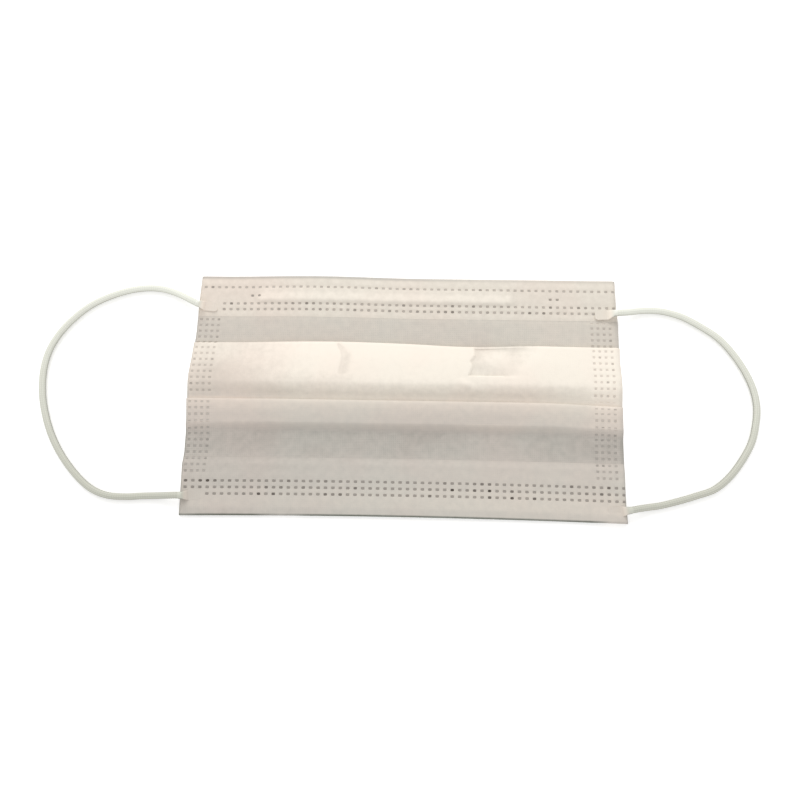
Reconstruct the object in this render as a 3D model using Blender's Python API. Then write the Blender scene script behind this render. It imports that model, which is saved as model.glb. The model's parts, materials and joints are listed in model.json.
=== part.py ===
"""A disposable three-ply face mask with two ear loops, lying flat with its pleats closed.

Lengths are in metres and +Z is up. The mask's width runs along X, its nose edge is at +Y and
its chin edge at -Y. The wearer's side is up. The origin is under the middle of the mask, on
the surface that it lies on.
"""
import math

import bmesh
import bpy
from mathutils import Vector

# Cloth, and the bands that follow each other from the nose edge down to the chin edge
MASK_WIDTH = 0.175
CLOTH_WALL = 0.001
CLEARANCE = 0.0003
NOSE_HEM_DEPTH = 0.018
UPPER_BAND = 0.0116
FIRST_PLEAT_DEPTH = 0.0159
BETWEEN_PLEATS = 0.008
SECOND_PLEAT_DEPTH = 0.0092
LOWER_BAND = 0.0147
CHIN_HEM_DEPTH = 0.0233

# How far the soft edges wander from a straight-sided rectangle
LEFT_BOW = 0.0009
RIGHT_BOW = 0.0002
NOSE_EDGE_SWELL = 0.0007
CHIN_EDGE_HOLLOW = 0.0008

# How far the panel over the first pleat stands up between its edges
PLEAT_PUFF = 0.0006

# Nose wire and the pocket that it lies in
WIRE_LENGTH = 0.103
WIRE_WIDTH = 0.0034
WIRE_THICKNESS = 0.0006
WIRE_FROM_NOSE_EDGE = 0.0085
WIRE_OFF_CENTRE = -0.009
POCKET_SHOULDER = 0.0018
POCKET_END_RUN = 0.003

# Ear loops and their flattened, welded ends
CORD_DIAMETER = 0.0027
WELD_LENGTH = 0.0085
WELD_WIDTH = 0.0042
WELD_THICKNESS = 0.0009
WELD_FROM_SIDE_EDGE = 0.0014
NOSE_LEFT_WELD_FROM_EDGE = 0.0145
NOSE_RIGHT_WELD_FROM_EDGE = 0.0156
CHIN_LEFT_WELD_FROM_EDGE = 0.0077
CHIN_RIGHT_WELD_FROM_EDGE = 0.0051

# Fineness of the curved and swept surfaces
FOLD_STEPS = 6
SETTLE_STEPS = 6
LONGEST_FACET = 0.006
PUFF_FACET = 0.0018
POCKET_FACET = 0.0006
STATION_GAP = 0.0025
WIDTH_STATIONS = 13
WELD_SIDES = 14
CORD_STEP = 2 * CORD_DIAMETER
ROUTE_STEPS = 12

# Colours as sRGB shares
CLOTH_COLOUR = (0.86, 0.83, 0.78)
HEM_COLOUR = (0.90, 0.87, 0.83)
WIRE_COLOUR = (0.88, 0.88, 0.87)
ELASTIC_COLOUR = (0.95, 0.95, 0.92)
CLOTH_ROUGHNESS = 0.85
WIRE_ROUGHNESS = 0.5
WELD_ROUGHNESS = 0.6
ELASTIC_ROUGHNESS = 0.8

# Places that follow from the sizes above
LAYER_PITCH = CLOTH_WALL + CLEARANCE
HALF_WIDTH = MASK_WIDTH / 2
HALF_HEIGHT = (NOSE_HEM_DEPTH + UPPER_BAND + FIRST_PLEAT_DEPTH + BETWEEN_PLEATS
               + SECOND_PLEAT_DEPTH + LOWER_BAND + CHIN_HEM_DEPTH) / 2
NOSE_HEM_END = HALF_HEIGHT - NOSE_HEM_DEPTH
FIRST_FOLD = NOSE_HEM_END - UPPER_BAND
FIRST_HIDDEN_FOLD = FIRST_FOLD - FIRST_PLEAT_DEPTH
SECOND_FOLD = FIRST_HIDDEN_FOLD - BETWEEN_PLEATS
SECOND_HIDDEN_FOLD = SECOND_FOLD - SECOND_PLEAT_DEPTH
CHIN_HEM_END = SECOND_HIDDEN_FOLD - LOWER_BAND
SHEET_END = HALF_HEIGHT - LAYER_PITCH
HEM_TOP = LAYER_PITCH + CLOTH_WALL
WIRE_Y = HALF_HEIGHT - WIRE_FROM_NOSE_EDGE

# The nose edge swells most at this share of the half width, over this share to each side
SWELL_CENTRE = -0.42
SWELL_REACH = 0.5

# The sheet comes down from the second pleat over this share of the band below it
SETTLE_SHARE = 0.4

# One row for each dent in the panel over the first pleat: its middle and reach across as
# shares of the half width, its middle and reach down as shares of the pleat's depth, and how
# much of the puff it takes away
DENTS = (
    {"across": -0.277, "reach_across": 0.055, "down": 0.50, "reach_down": 0.42, "deep": 0.9},
    {"across": 0.400, "reach_across": 0.120, "down": 0.52, "reach_down": 0.44, "deep": 0.8},
)

# One row for each section of a welded cord end, from its tip to the round cord: the share of
# the weld's length, how flat it is pressed (1) or how round (0), and its share of full width
WELD_SECTIONS = (
    {"along": 0.00, "flat": 1.00, "wide": 0.60},
    {"along": 0.06, "flat": 1.00, "wide": 0.90},
    {"along": 0.16, "flat": 1.00, "wide": 1.00},
    {"along": 0.60, "flat": 1.00, "wide": 1.00},
    {"along": 0.76, "flat": 0.72, "wide": 1.00},
    {"along": 0.89, "flat": 0.25, "wide": 1.00},
    {"along": 1.00, "flat": 0.00, "wide": 1.00},
)

# One row for each welded end: the side that it leaves by, its place down the mask, and the
# angle in degrees by which the cord leaves it towards the nose edge
WELDS = (
    {"name": "loop_weld_nose_left", "side": -1, "rise": 16,
     "y": HALF_HEIGHT - NOSE_LEFT_WELD_FROM_EDGE},
    {"name": "loop_weld_nose_right", "side": 1, "rise": 6,
     "y": HALF_HEIGHT - NOSE_RIGHT_WELD_FROM_EDGE},
    {"name": "loop_weld_chin_left", "side": -1, "rise": 0,
     "y": -HALF_HEIGHT + CHIN_LEFT_WELD_FROM_EDGE},
    {"name": "loop_weld_chin_right", "side": 1, "rise": 8,
     "y": -HALF_HEIGHT + CHIN_RIGHT_WELD_FROM_EDGE},
)

# Routes of the loose elastic, chosen by hand along its centre line
LEFT_LOOP_ROUTE = (
    (-0.0866, 0.0364, 0.00395),
    (-0.0890, 0.0376, 0.00385),
    (-0.0935, 0.0401, 0.00270),
    (-0.0980, 0.0422, 0.00165),
    (-0.1032, 0.0436, 0.00145),
    (-0.1095, 0.0439, 0.00145),
    (-0.1170, 0.0427, 0.00145),
    (-0.1250, 0.0399, 0.00145),
    (-0.1325, 0.0358, 0.00145),
    (-0.1390, 0.0299, 0.00145),
    (-0.1442, 0.0230, 0.00145),
    (-0.1475, 0.0155, 0.00145),
    (-0.1486, 0.0070, 0.00145),
    (-0.1477, -0.0025, 0.00145),
    (-0.1451, -0.0116, 0.00145),
    (-0.1412, -0.0203, 0.00145),
    (-0.1358, -0.0285, 0.00145),
    (-0.1290, -0.0360, 0.00145),
    (-0.1225, -0.0410, 0.00145),
    (-0.1158, -0.0434, 0.00145),
    (-0.1088, -0.0438, 0.00145),
    (-0.1025, -0.0434, 0.00145),
    (-0.0970, -0.0432, 0.00175),
    (-0.0925, -0.0431, 0.00290),
    (-0.0885, -0.0430, 0.00390),
    (-0.0864, -0.0430, 0.00395),
)
RIGHT_LOOP_ROUTE = (
    (0.0869, 0.0346, 0.00395),
    (0.0890, 0.0348, 0.00390),
    (0.0930, 0.0355, 0.00290),
    (0.0978, 0.0365, 0.00175),
    (0.1030, 0.0368, 0.00145),
    (0.1085, 0.0361, 0.00145),
    (0.1150, 0.0340, 0.00145),
    (0.1218, 0.0302, 0.00145),
    (0.1288, 0.0251, 0.00145),
    (0.1340, 0.0187, 0.00145),
    (0.1383, 0.0110, 0.00145),
    (0.1408, 0.0037, 0.00145),
    (0.1415, -0.0035, 0.00145),
    (0.1404, -0.0106, 0.00145),
    (0.1380, -0.0180, 0.00145),
    (0.1336, -0.0252, 0.00145),
    (0.1282, -0.0317, 0.00145),
    (0.1220, -0.0366, 0.00145),
    (0.1150, -0.0392, 0.00145),
    (0.1075, -0.0415, 0.00145),
    (0.1005, -0.0433, 0.00150),
    (0.0955, -0.0441, 0.00190),
    (0.0915, -0.0448, 0.00310),
    (0.0880, -0.0455, 0.00395),
)

LOOPS = {"ear_loop_left": LEFT_LOOP_ROUTE, "ear_loop_right": RIGHT_LOOP_ROUTE}


def clear_scene():
    for old in list(bpy.data.objects):
        bpy.data.objects.remove(old, do_unlink=True)


def finish(name, colour, roughness):
    """Make a matte finish from a colour given as sRGB shares."""
    material = bpy.data.materials.new(name)
    material.use_nodes = True
    shader = material.node_tree.nodes["Principled BSDF"]
    linear = [share ** 2.2 for share in colour]
    shader.inputs["Base Color"].default_value = (*linear, 1)
    shader.inputs["Roughness"].default_value = roughness
    shader.inputs["Metallic"].default_value = 0
    return material


def smooth_step(share):
    share = min(max(share, 0), 1)
    return share * share * (3 - 2 * share)


def on_outline(x, y, z):
    """Carry a point of a plain rectangle to the soft outline of the lying mask."""
    across = x / HALF_WIDTH
    along = y / HALF_HEIGHT
    side_bow = LEFT_BOW if x < 0 else RIGHT_BOW
    off_swell = min(abs(across - SWELL_CENTRE) / SWELL_REACH, 1)
    nose_push = NOSE_EDGE_SWELL * (1 - smooth_step(off_swell)) * max(along, 0)
    chin_push = CHIN_EDGE_HOLLOW * (1 - across ** 2) * max(-along, 0)
    middle = Vector(((RIGHT_BOW - LEFT_BOW) / 2, NOSE_EDGE_SWELL / 2, 0))
    bowed_x = x + across * side_bow * (1 - along ** 2)
    return Vector((bowed_x, y + nose_push + chin_push, z)) - middle


def level(layer):
    """Height of the middle of a cloth layer, counted up from the surface."""
    return layer * LAYER_PITCH + CLOTH_WALL / 2


def turn_back(tip_y, outward, from_layer):
    """Centre line of a fold whose outside reaches tip_y, from one layer up to the next."""
    radius = LAYER_PITCH / 2
    centre_y = tip_y - outward * (radius + CLOTH_WALL / 2)
    centre_z = level(from_layer) + radius
    points = []
    for step in range(FOLD_STEPS + 1):
        angle = math.pi * step / FOLD_STEPS
        points.append(Vector((centre_y + outward * radius * math.sin(angle),
                              centre_z - radius * math.cos(angle))))
    return points


def settle(start_y, end_y):
    """Centre line of the sheet as it comes down from the top layer to the surface."""
    points = []
    for step in range(SETTLE_STEPS + 1):
        share = step / SETTLE_STEPS
        height = level(2) + (level(0) - level(2)) * smooth_step(share)
        points.append(Vector((start_y + (end_y - start_y) * share, height)))
    return points


def filled_in(line, longest):
    """Add points to the long straight runs of a centre line."""
    points = [line[0]]
    for before, after in zip(line, line[1:]):
        pieces = math.ceil((after - before).length / longest)
        for piece in range(1, pieces + 1):
            points.append(before.lerp(after, piece / pieces))
    return points


def puff(x, y):
    """How far the panel over the first pleat stands up at a place, with its dents."""
    across = x / HALF_WIDTH
    down = (FIRST_FOLD - y) / FIRST_PLEAT_DEPTH
    share = (1 - across ** 4) * math.sin(math.pi * down)
    for dent in DENTS:
        off_across = (across - dent["across"]) / dent["reach_across"]
        off_down = (down - dent["down"]) / dent["reach_down"]
        share *= 1 - dent["deep"] * (1 - smooth_step(math.hypot(off_across, off_down)))
    return PLEAT_PUFF * share


def puffed_panel(x):
    """Centre line of the panel over the first pleat, between its fold and where it settles."""
    start = turn_back(FIRST_FOLD, 1, 1)[-1]
    end = Vector((FIRST_HIDDEN_FOLD, level(2)))
    flat_panel = filled_in([start, end], PUFF_FACET)
    return [Vector((y, z + puff(x, y))) for y, z in flat_panel[1:-1]]


def sheet_line(x):
    """Centre line of the pleated sheet from the nose edge to the chin edge, as (y, z) points."""
    line = [Vector((SHEET_END, level(0)))]
    line += turn_back(FIRST_HIDDEN_FOLD, -1, 0)
    line += turn_back(FIRST_FOLD, 1, 1)
    line += puffed_panel(x)
    line += settle(FIRST_HIDDEN_FOLD, SECOND_FOLD + CLEARANCE)
    line += turn_back(SECOND_HIDDEN_FOLD, -1, 0)
    line += turn_back(SECOND_FOLD, 1, 1)
    line += settle(SECOND_HIDDEN_FOLD, SECOND_HIDDEN_FOLD - SETTLE_SHARE * LOWER_BAND)
    line.append(Vector((-SHEET_END, level(0))))
    return filled_in(line, LONGEST_FACET)


def hem_line(end_y, outward, facet, lift_at):
    """Centre line of a hem: flat on the sheet, then over the sheet's edge to the surface."""
    radius = LAYER_PITCH / 2
    corner_y = HALF_HEIGHT - CLOTH_WALL / 2 - radius
    start = Vector((end_y, level(1)))
    corner = Vector((outward * corner_y, level(1)))
    flat_run = filled_in([start, corner], facet)
    line = [Vector((y, z + lift_at(y))) for y, z in flat_run[:-1]]
    for step in range(FOLD_STEPS // 2 + 1):
        angle = math.pi * step / FOLD_STEPS
        line.append(Vector((outward * (corner_y + radius * math.sin(angle)),
                            level(1) - radius + radius * math.cos(angle))))
    line.append(Vector((line[-1].x, 0)))
    return line


def pocket_lift(x, y):
    """How far the nose hem is raised over the wire."""
    from_wire_x = abs(x - WIRE_OFF_CENTRE) - (WIRE_LENGTH / 2 + CLEARANCE)
    from_wire_y = abs(y - WIRE_Y) - (WIRE_WIDTH / 2 + CLEARANCE)
    lengthwise = 1 - smooth_step(from_wire_x / POCKET_END_RUN)
    crosswise = 1 - smooth_step(from_wire_y / POCKET_SHOULDER)
    return (WIRE_THICKNESS + CLEARANCE) * lengthwise * crosswise


def nose_hem_line(x):
    return hem_line(NOSE_HEM_END, 1, POCKET_FACET, lambda y: pocket_lift(x, y))


def chin_hem_line(x):
    return hem_line(CHIN_HEM_END, -1, LONGEST_FACET, lambda y: 0)


def stations(fine=()):
    """Places across the width: both sides, the fine ones asked for and even ones between."""
    last = WIDTH_STATIONS - 1
    places = [-HALF_WIDTH, HALF_WIDTH, *fine]
    for number in range(1, last):
        even = MASK_WIDTH * (number / last - 0.5)
        if min(abs(even - place) for place in places) > STATION_GAP:
            places.append(even)
    return sorted(places)


def pocket_places():
    """Places across the width where the wire's pocket fades out at its ends."""
    places = []
    for way in (-1, 1):
        pocket_end = WIRE_OFF_CENTRE + way * (WIRE_LENGTH / 2 + CLEARANCE)
        for share in (0, 1 / 3, 2 / 3, 1):
            places.append(pocket_end + way * POCKET_END_RUN * share)
    return places


def dent_places():
    """Places across the width where the dents are."""
    places = []
    for dent in DENTS:
        for share in (-1, -0.5, 0, 0.5, 1):
            places.append(HALF_WIDTH * (dent["across"] + share * dent["reach_across"]))
    return places


def two_sides(line):
    """Both sides of a cloth wall that follows a centre line."""
    sides = ([], [])
    for number, point in enumerate(line):
        before = line[max(number - 1, 0)]
        after = line[min(number + 1, len(line) - 1)]
        run = (after - before).normalized()
        half_wall = Vector((-run.y, run.x)) * CLOTH_WALL / 2
        sides[0].append(point + half_wall)
        sides[1].append(point - half_wall)
    return sides


def add_object(name, mesh_bm, material):
    bmesh.ops.recalc_face_normals(mesh_bm, faces=mesh_bm.faces)
    mesh = bpy.data.meshes.new(name)
    mesh_bm.to_mesh(mesh)
    mesh_bm.free()
    mesh.shade_smooth()
    mesh.set_sharp_from_angle(angle=math.radians(40))
    mesh.materials.append(material)
    piece = bpy.data.objects.new(name, mesh)
    bpy.context.scene.collection.objects.link(piece)
    return piece


def bridge(mesh_bm, rings):
    """Join each ring of corners to the next with faces."""
    for ring, following in zip(rings, rings[1:]):
        for number in range(len(ring)):
            beside = (number + 1) % len(ring)
            mesh_bm.faces.new((ring[number], ring[beside], following[beside], following[number]))


def add_cloth(name, line_at, places, material):
    """Sweep a cloth wall across the mask's width and close it at both sides."""
    mesh_bm = bmesh.new()
    rings = []
    for x in places:
        one, other = two_sides(line_at(x))
        outline = one + other[::-1]
        rings.append([mesh_bm.verts.new(on_outline(x, y, z)) for y, z in outline])
    bridge(mesh_bm, rings)
    for ring in (rings[0], rings[-1]):
        last = len(ring) - 1
        for number in range(len(ring) // 2 - 1):
            mesh_bm.faces.new((ring[number], ring[number + 1],
                               ring[last - number - 1], ring[last - number]))
    return add_object(name, mesh_bm, material)


def wire_outline():
    """Flat wire with round edges, as (y, z) points."""
    radius = WIRE_THICKNESS / 2
    middle_z = CLOTH_WALL + CLEARANCE + radius
    points = []
    for way in (1, -1):
        for step in range(FOLD_STEPS // 2 + 1):
            angle = math.pi * (step / (FOLD_STEPS // 2) - 0.5)
            points.append((WIRE_Y + way * (WIRE_WIDTH / 2 - radius + radius * math.cos(angle)),
                           middle_z + way * radius * math.sin(angle)))
    return points


def add_nose_wire(material):
    mesh_bm = bmesh.new()
    last = WIDTH_STATIONS - 1
    rings = []
    for number in range(WIDTH_STATIONS):
        x = WIRE_OFF_CENTRE + WIRE_LENGTH * (number / last - 0.5)
        rings.append([mesh_bm.verts.new(on_outline(x, y, z)) for y, z in wire_outline()])
    bridge(mesh_bm, rings)
    mesh_bm.faces.new(rings[0])
    mesh_bm.faces.new(rings[-1])
    return add_object("nose_wire", mesh_bm, material)


def weld_ring(section):
    """Outline of a welded end's section, as (sideways, height) points above the hem."""
    flat = section["flat"]
    full_width = CORD_DIAMETER + (WELD_WIDTH - CORD_DIAMETER) * flat
    half_wide = full_width * section["wide"] / 2
    half_high = (CORD_DIAMETER + (WELD_THICKNESS - CORD_DIAMETER) * flat) / 2
    power = 1 / (1 + flat)
    points = []
    for number in range(WELD_SIDES):
        angle = math.tau * (number + 0.5) / WELD_SIDES
        wide, high = math.cos(angle), math.sin(angle)
        points.append((half_wide * math.copysign(abs(wide) ** power, wide),
                       half_high * (1 + math.copysign(abs(high) ** power, high))))
    return points


def add_weld(weld, material):
    """Loft a cord's flattened end, from its tip on the hem out to the round cord."""
    mouth = on_outline(weld["side"] * (HALF_WIDTH - WELD_FROM_SIDE_EDGE), weld["y"],
                       HEM_TOP + CLEARANCE)
    rise = math.radians(weld["rise"])
    outward = Vector((weld["side"] * math.cos(rise), math.sin(rise), 0))
    sideways = Vector((-outward.y, outward.x, 0))
    mesh_bm = bmesh.new()
    rings = []
    for section in WELD_SECTIONS:
        middle = mouth - outward * WELD_LENGTH * (1 - section["along"])
        rings.append([mesh_bm.verts.new(middle + sideways * wide + Vector((0, 0, high)))
                      for wide, high in weld_ring(section)])
    bridge(mesh_bm, rings)
    mesh_bm.faces.new(rings[0])
    mesh_bm.faces.new(rings[-1])
    return add_object(weld["name"], mesh_bm, material)


def curve_through(route):
    """Fine points on a smooth curve that passes through every point of a route."""
    places = [Vector(point) for point in route]
    first = 2 * places[0] - places[1]
    last = 2 * places[-1] - places[-2]
    padded = [first, *places, last]
    fine = []
    for before, start, end, after in zip(padded, padded[1:], padded[2:], padded[3:]):
        for step in range(ROUTE_STEPS):
            share = step / ROUTE_STEPS
            bend = 2 * before - 5 * start + 4 * end - after
            twist = 3 * start - 3 * end + after - before
            fine.append(start + 0.5 * share * (end - before + share * (bend + share * twist)))
    fine.append(places[-1])
    return fine


def evenly_spaced(line, spacing):
    """Points at equal steps along a line, with its two ends kept."""
    travelled = [0.0]
    for before, after in zip(line, line[1:]):
        travelled.append(travelled[-1] + (after - before).length)
    steps = math.ceil(travelled[-1] / spacing)
    points = [line[0]]
    number = 1
    for step in range(1, steps):
        goal = travelled[-1] * step / steps
        while travelled[number] < goal:
            number += 1
        share = (goal - travelled[number - 1]) / (travelled[number] - travelled[number - 1])
        points.append(line[number - 1].lerp(line[number], share))
    points.append(line[-1])
    return points


def add_ear_loop(name, route, material):
    curve = bpy.data.curves.new(name, "CURVE")
    curve.dimensions = "3D"
    curve.bevel_depth = CORD_DIAMETER / 2
    curve.bevel_resolution = 2
    curve.use_fill_caps = True
    points = evenly_spaced(curve_through(route), CORD_STEP)
    spline = curve.splines.new("POLY")
    spline.points.add(len(points) - 1)
    for target, point in zip(spline.points, points):
        target.co = (*point, 1)
    curve.materials.append(material)
    piece = bpy.data.objects.new(name, curve)
    bpy.context.scene.collection.objects.link(piece)
    return piece


clear_scene()
add_cloth("pleated_cloth", sheet_line, stations(dent_places()),
          finish("pleated_cloth", CLOTH_COLOUR, CLOTH_ROUGHNESS))
add_cloth("nose_hem", nose_hem_line, stations(pocket_places()),
          finish("nose_hem", HEM_COLOUR, CLOTH_ROUGHNESS))
add_cloth("chin_hem", chin_hem_line, stations(),
          finish("chin_hem", HEM_COLOUR, CLOTH_ROUGHNESS))
add_nose_wire(finish("nose_wire", WIRE_COLOUR, WIRE_ROUGHNESS))
for weld_row in WELDS:
    add_weld(weld_row, finish(weld_row["name"], ELASTIC_COLOUR, WELD_ROUGHNESS))
for loop_name, loop_route in LOOPS.items():
    add_ear_loop(loop_name, loop_route, finish(loop_name, ELASTIC_COLOUR, ELASTIC_ROUGHNESS))
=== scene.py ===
# %% [markdown]
# # A pleated face mask laid on a table
# This lesson gives a packed set of plain solids the look of a disposable three-ply mask.
# The solids hold the sizes and never move. Every visible piece is made here, at the same
# place: thin nonwoven cloth with pressed welds, a coated wire and knitted elastic.

# %% Load the fixed frame
import json
import math

import bmesh
import bpy
from mathutils import Vector, kdtree, noise
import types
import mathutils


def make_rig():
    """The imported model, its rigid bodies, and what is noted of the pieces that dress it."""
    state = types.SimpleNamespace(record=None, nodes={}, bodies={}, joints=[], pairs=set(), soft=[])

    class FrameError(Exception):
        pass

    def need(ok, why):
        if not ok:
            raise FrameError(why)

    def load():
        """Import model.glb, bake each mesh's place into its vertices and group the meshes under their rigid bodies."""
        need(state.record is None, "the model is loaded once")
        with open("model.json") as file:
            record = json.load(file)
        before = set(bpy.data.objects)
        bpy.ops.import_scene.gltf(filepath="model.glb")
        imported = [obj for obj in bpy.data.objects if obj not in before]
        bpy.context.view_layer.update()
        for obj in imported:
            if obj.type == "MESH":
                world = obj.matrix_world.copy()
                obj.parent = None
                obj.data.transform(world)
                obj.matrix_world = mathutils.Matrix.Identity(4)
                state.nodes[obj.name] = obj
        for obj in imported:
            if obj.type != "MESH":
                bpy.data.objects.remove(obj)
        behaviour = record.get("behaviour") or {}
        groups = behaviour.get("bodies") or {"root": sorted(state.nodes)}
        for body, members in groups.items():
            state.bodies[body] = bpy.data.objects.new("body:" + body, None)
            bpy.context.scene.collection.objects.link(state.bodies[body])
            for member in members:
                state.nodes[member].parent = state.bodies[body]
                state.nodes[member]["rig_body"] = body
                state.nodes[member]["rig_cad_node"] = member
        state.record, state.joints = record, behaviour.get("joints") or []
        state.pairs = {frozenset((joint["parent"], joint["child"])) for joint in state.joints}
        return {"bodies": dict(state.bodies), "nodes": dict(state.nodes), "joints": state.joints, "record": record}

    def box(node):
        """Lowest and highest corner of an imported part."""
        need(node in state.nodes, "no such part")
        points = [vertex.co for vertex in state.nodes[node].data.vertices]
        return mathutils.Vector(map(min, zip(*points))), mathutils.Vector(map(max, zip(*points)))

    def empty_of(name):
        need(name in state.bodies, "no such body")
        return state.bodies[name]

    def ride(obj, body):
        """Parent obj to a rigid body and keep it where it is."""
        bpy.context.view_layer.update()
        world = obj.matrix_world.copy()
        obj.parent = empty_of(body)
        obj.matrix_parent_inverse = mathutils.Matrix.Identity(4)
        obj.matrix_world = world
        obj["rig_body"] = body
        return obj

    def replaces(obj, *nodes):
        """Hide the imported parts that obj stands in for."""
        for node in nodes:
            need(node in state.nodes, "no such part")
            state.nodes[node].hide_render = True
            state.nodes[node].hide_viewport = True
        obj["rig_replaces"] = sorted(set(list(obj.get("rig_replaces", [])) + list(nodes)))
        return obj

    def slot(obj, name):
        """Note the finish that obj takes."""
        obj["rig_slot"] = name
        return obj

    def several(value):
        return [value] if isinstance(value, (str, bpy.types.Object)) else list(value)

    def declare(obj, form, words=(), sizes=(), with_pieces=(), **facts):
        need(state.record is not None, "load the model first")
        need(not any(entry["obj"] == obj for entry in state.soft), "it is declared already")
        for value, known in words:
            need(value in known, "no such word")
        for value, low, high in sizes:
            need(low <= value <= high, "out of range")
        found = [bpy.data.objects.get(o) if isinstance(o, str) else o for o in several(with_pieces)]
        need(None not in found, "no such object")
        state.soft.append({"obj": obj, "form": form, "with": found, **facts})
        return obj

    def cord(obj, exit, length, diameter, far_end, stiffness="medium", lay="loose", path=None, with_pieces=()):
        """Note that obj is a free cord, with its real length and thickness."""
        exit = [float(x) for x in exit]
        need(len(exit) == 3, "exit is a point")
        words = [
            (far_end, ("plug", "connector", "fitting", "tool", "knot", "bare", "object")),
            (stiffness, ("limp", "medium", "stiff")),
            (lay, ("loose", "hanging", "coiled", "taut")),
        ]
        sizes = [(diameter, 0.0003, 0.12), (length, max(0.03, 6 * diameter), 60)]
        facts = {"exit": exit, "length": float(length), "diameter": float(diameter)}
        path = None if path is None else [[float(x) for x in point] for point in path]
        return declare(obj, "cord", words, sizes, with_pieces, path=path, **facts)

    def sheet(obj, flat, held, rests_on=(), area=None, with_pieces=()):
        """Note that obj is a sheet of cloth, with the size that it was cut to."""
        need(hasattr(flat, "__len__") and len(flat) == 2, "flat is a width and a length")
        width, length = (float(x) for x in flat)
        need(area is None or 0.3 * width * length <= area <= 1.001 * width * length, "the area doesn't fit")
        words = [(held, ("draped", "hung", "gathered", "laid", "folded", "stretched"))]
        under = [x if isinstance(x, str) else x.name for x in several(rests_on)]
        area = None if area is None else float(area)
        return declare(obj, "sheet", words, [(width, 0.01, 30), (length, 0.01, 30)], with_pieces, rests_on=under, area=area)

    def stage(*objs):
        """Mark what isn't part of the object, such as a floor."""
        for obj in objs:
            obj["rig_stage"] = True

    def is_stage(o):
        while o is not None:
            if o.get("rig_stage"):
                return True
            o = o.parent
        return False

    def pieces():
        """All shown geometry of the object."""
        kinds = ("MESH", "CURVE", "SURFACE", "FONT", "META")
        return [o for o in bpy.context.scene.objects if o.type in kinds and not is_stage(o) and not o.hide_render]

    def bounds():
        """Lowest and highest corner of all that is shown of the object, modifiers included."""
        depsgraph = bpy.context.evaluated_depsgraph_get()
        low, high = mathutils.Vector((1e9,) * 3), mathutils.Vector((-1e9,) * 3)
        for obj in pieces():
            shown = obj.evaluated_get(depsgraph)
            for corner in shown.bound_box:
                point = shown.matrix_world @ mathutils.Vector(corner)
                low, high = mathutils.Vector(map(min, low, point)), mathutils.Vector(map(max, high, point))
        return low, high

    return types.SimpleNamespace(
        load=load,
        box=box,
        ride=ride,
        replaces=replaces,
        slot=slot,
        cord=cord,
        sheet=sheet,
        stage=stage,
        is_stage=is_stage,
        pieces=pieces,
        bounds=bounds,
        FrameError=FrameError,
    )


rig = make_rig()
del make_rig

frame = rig.load()
cad_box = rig.bounds()
print("bodies", list(frame["bodies"]), "nodes", len(frame["nodes"]))

# %% [markdown]
# ## Camera
# The mask's four corners in the photograph fix where the camera stood. Its frame is square,
# its view is about as wide as a telephone's, and it looks down almost straight, with the
# nose edge away from it.

# %% Camera
MM = 0.001
FRAME_PIXELS = 800
FOCAL_PIXELS = 640
SENSOR_WIDTH = 36
CAMERA_PLACE = (3.95 * MM, -60.45 * MM, 253.95 * MM)
CAMERA_TILT_DEG = (12.844, 0.918, 1.155)


def into_scene(name, data):
    """An object for a mesh, a camera or a light, linked to the scene."""
    made = bpy.data.objects.new(name, data)
    bpy.context.scene.collection.objects.link(made)
    return made


camera_data = bpy.data.cameras.new("camera")
camera_data.sensor_width = SENSOR_WIDTH
camera_data.lens = FOCAL_PIXELS * SENSOR_WIDTH / FRAME_PIXELS
camera_data.clip_start = 10 * MM
camera = into_scene("camera", camera_data)
camera.location = CAMERA_PLACE
camera.rotation_euler = [math.radians(angle) for angle in CAMERA_TILT_DEG]
bpy.context.scene.camera = camera
print("lens in mm", round(camera_data.lens, 2))

# %% [markdown]
# ## Shader maths as plain expressions
# A material is a web of nodes, and arithmetic in it takes a node for every sign. The class
# below wraps one socket, so `1 - mask * 0.3` adds its Math nodes by itself. A second class
# holds a tree and has one method that makes any other kind of node, and a third is a
# material: it adds the few kinds of node that every finish here is made of.

# %% A socket that does arithmetic
class Flow:
    """A value that flows out of a node's socket."""

    def __init__(self, web, socket):
        self.web = web
        self.socket = socket

    def math(self, operation, *others):
        inputs = dict(enumerate((self, *others)))
        return self.web.node("ShaderNodeMath", {"operation": operation}, inputs)

    def __add__(self, other):
        return self.math("ADD", other)

    def __sub__(self, other):
        return self.math("SUBTRACT", other)

    def __mul__(self, other):
        return self.math("MULTIPLY", other)

    def __rsub__(self, other):
        return (self * -1.0) + other

    __radd__ = __add__
    __rmul__ = __mul__

    def between(self, low, high):
        """Nought below one value, one above another, and smooth between."""
        settings = {"interpolation_type": "SMOOTHSTEP"}
        inputs = {"Value": self, "From Min": low, "From Max": high}
        return self.web.node("ShaderNodeMapRange", settings, inputs)


print("signs that a flow takes", [sign for sign in vars(Flow) if sign.startswith("__r")])

# %% A tree of nodes and the one method that adds to it
class Web:
    """A tree of nodes that is being made, one node at a time."""

    def __init__(self, tree):
        self.tree = tree

    def put(self, socket, value):
        """Link a flow to a socket, or set a plain value on it."""
        if isinstance(value, Flow):
            self.tree.links.new(value.socket, socket)
        else:
            socket.default_value = value

    def node(self, kind, settings=None, inputs=None, out=0):
        """Add a node, its settings first and then its inputs, and give back one output."""
        made = self.tree.nodes.new(kind)
        for label, value in (settings or {}).items():
            setattr(made, label, value)
        for place, value in (inputs or {}).items():
            self.put(made.inputs[place], value)
        return Flow(self, made.outputs[out])

    def part(self, vector, axis):
        return self.node("ShaderNodeSeparateXYZ", {}, {0: vector}, out=axis)


print("a tree takes", [name for name in vars(Web) if not name.startswith("_")])

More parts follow.
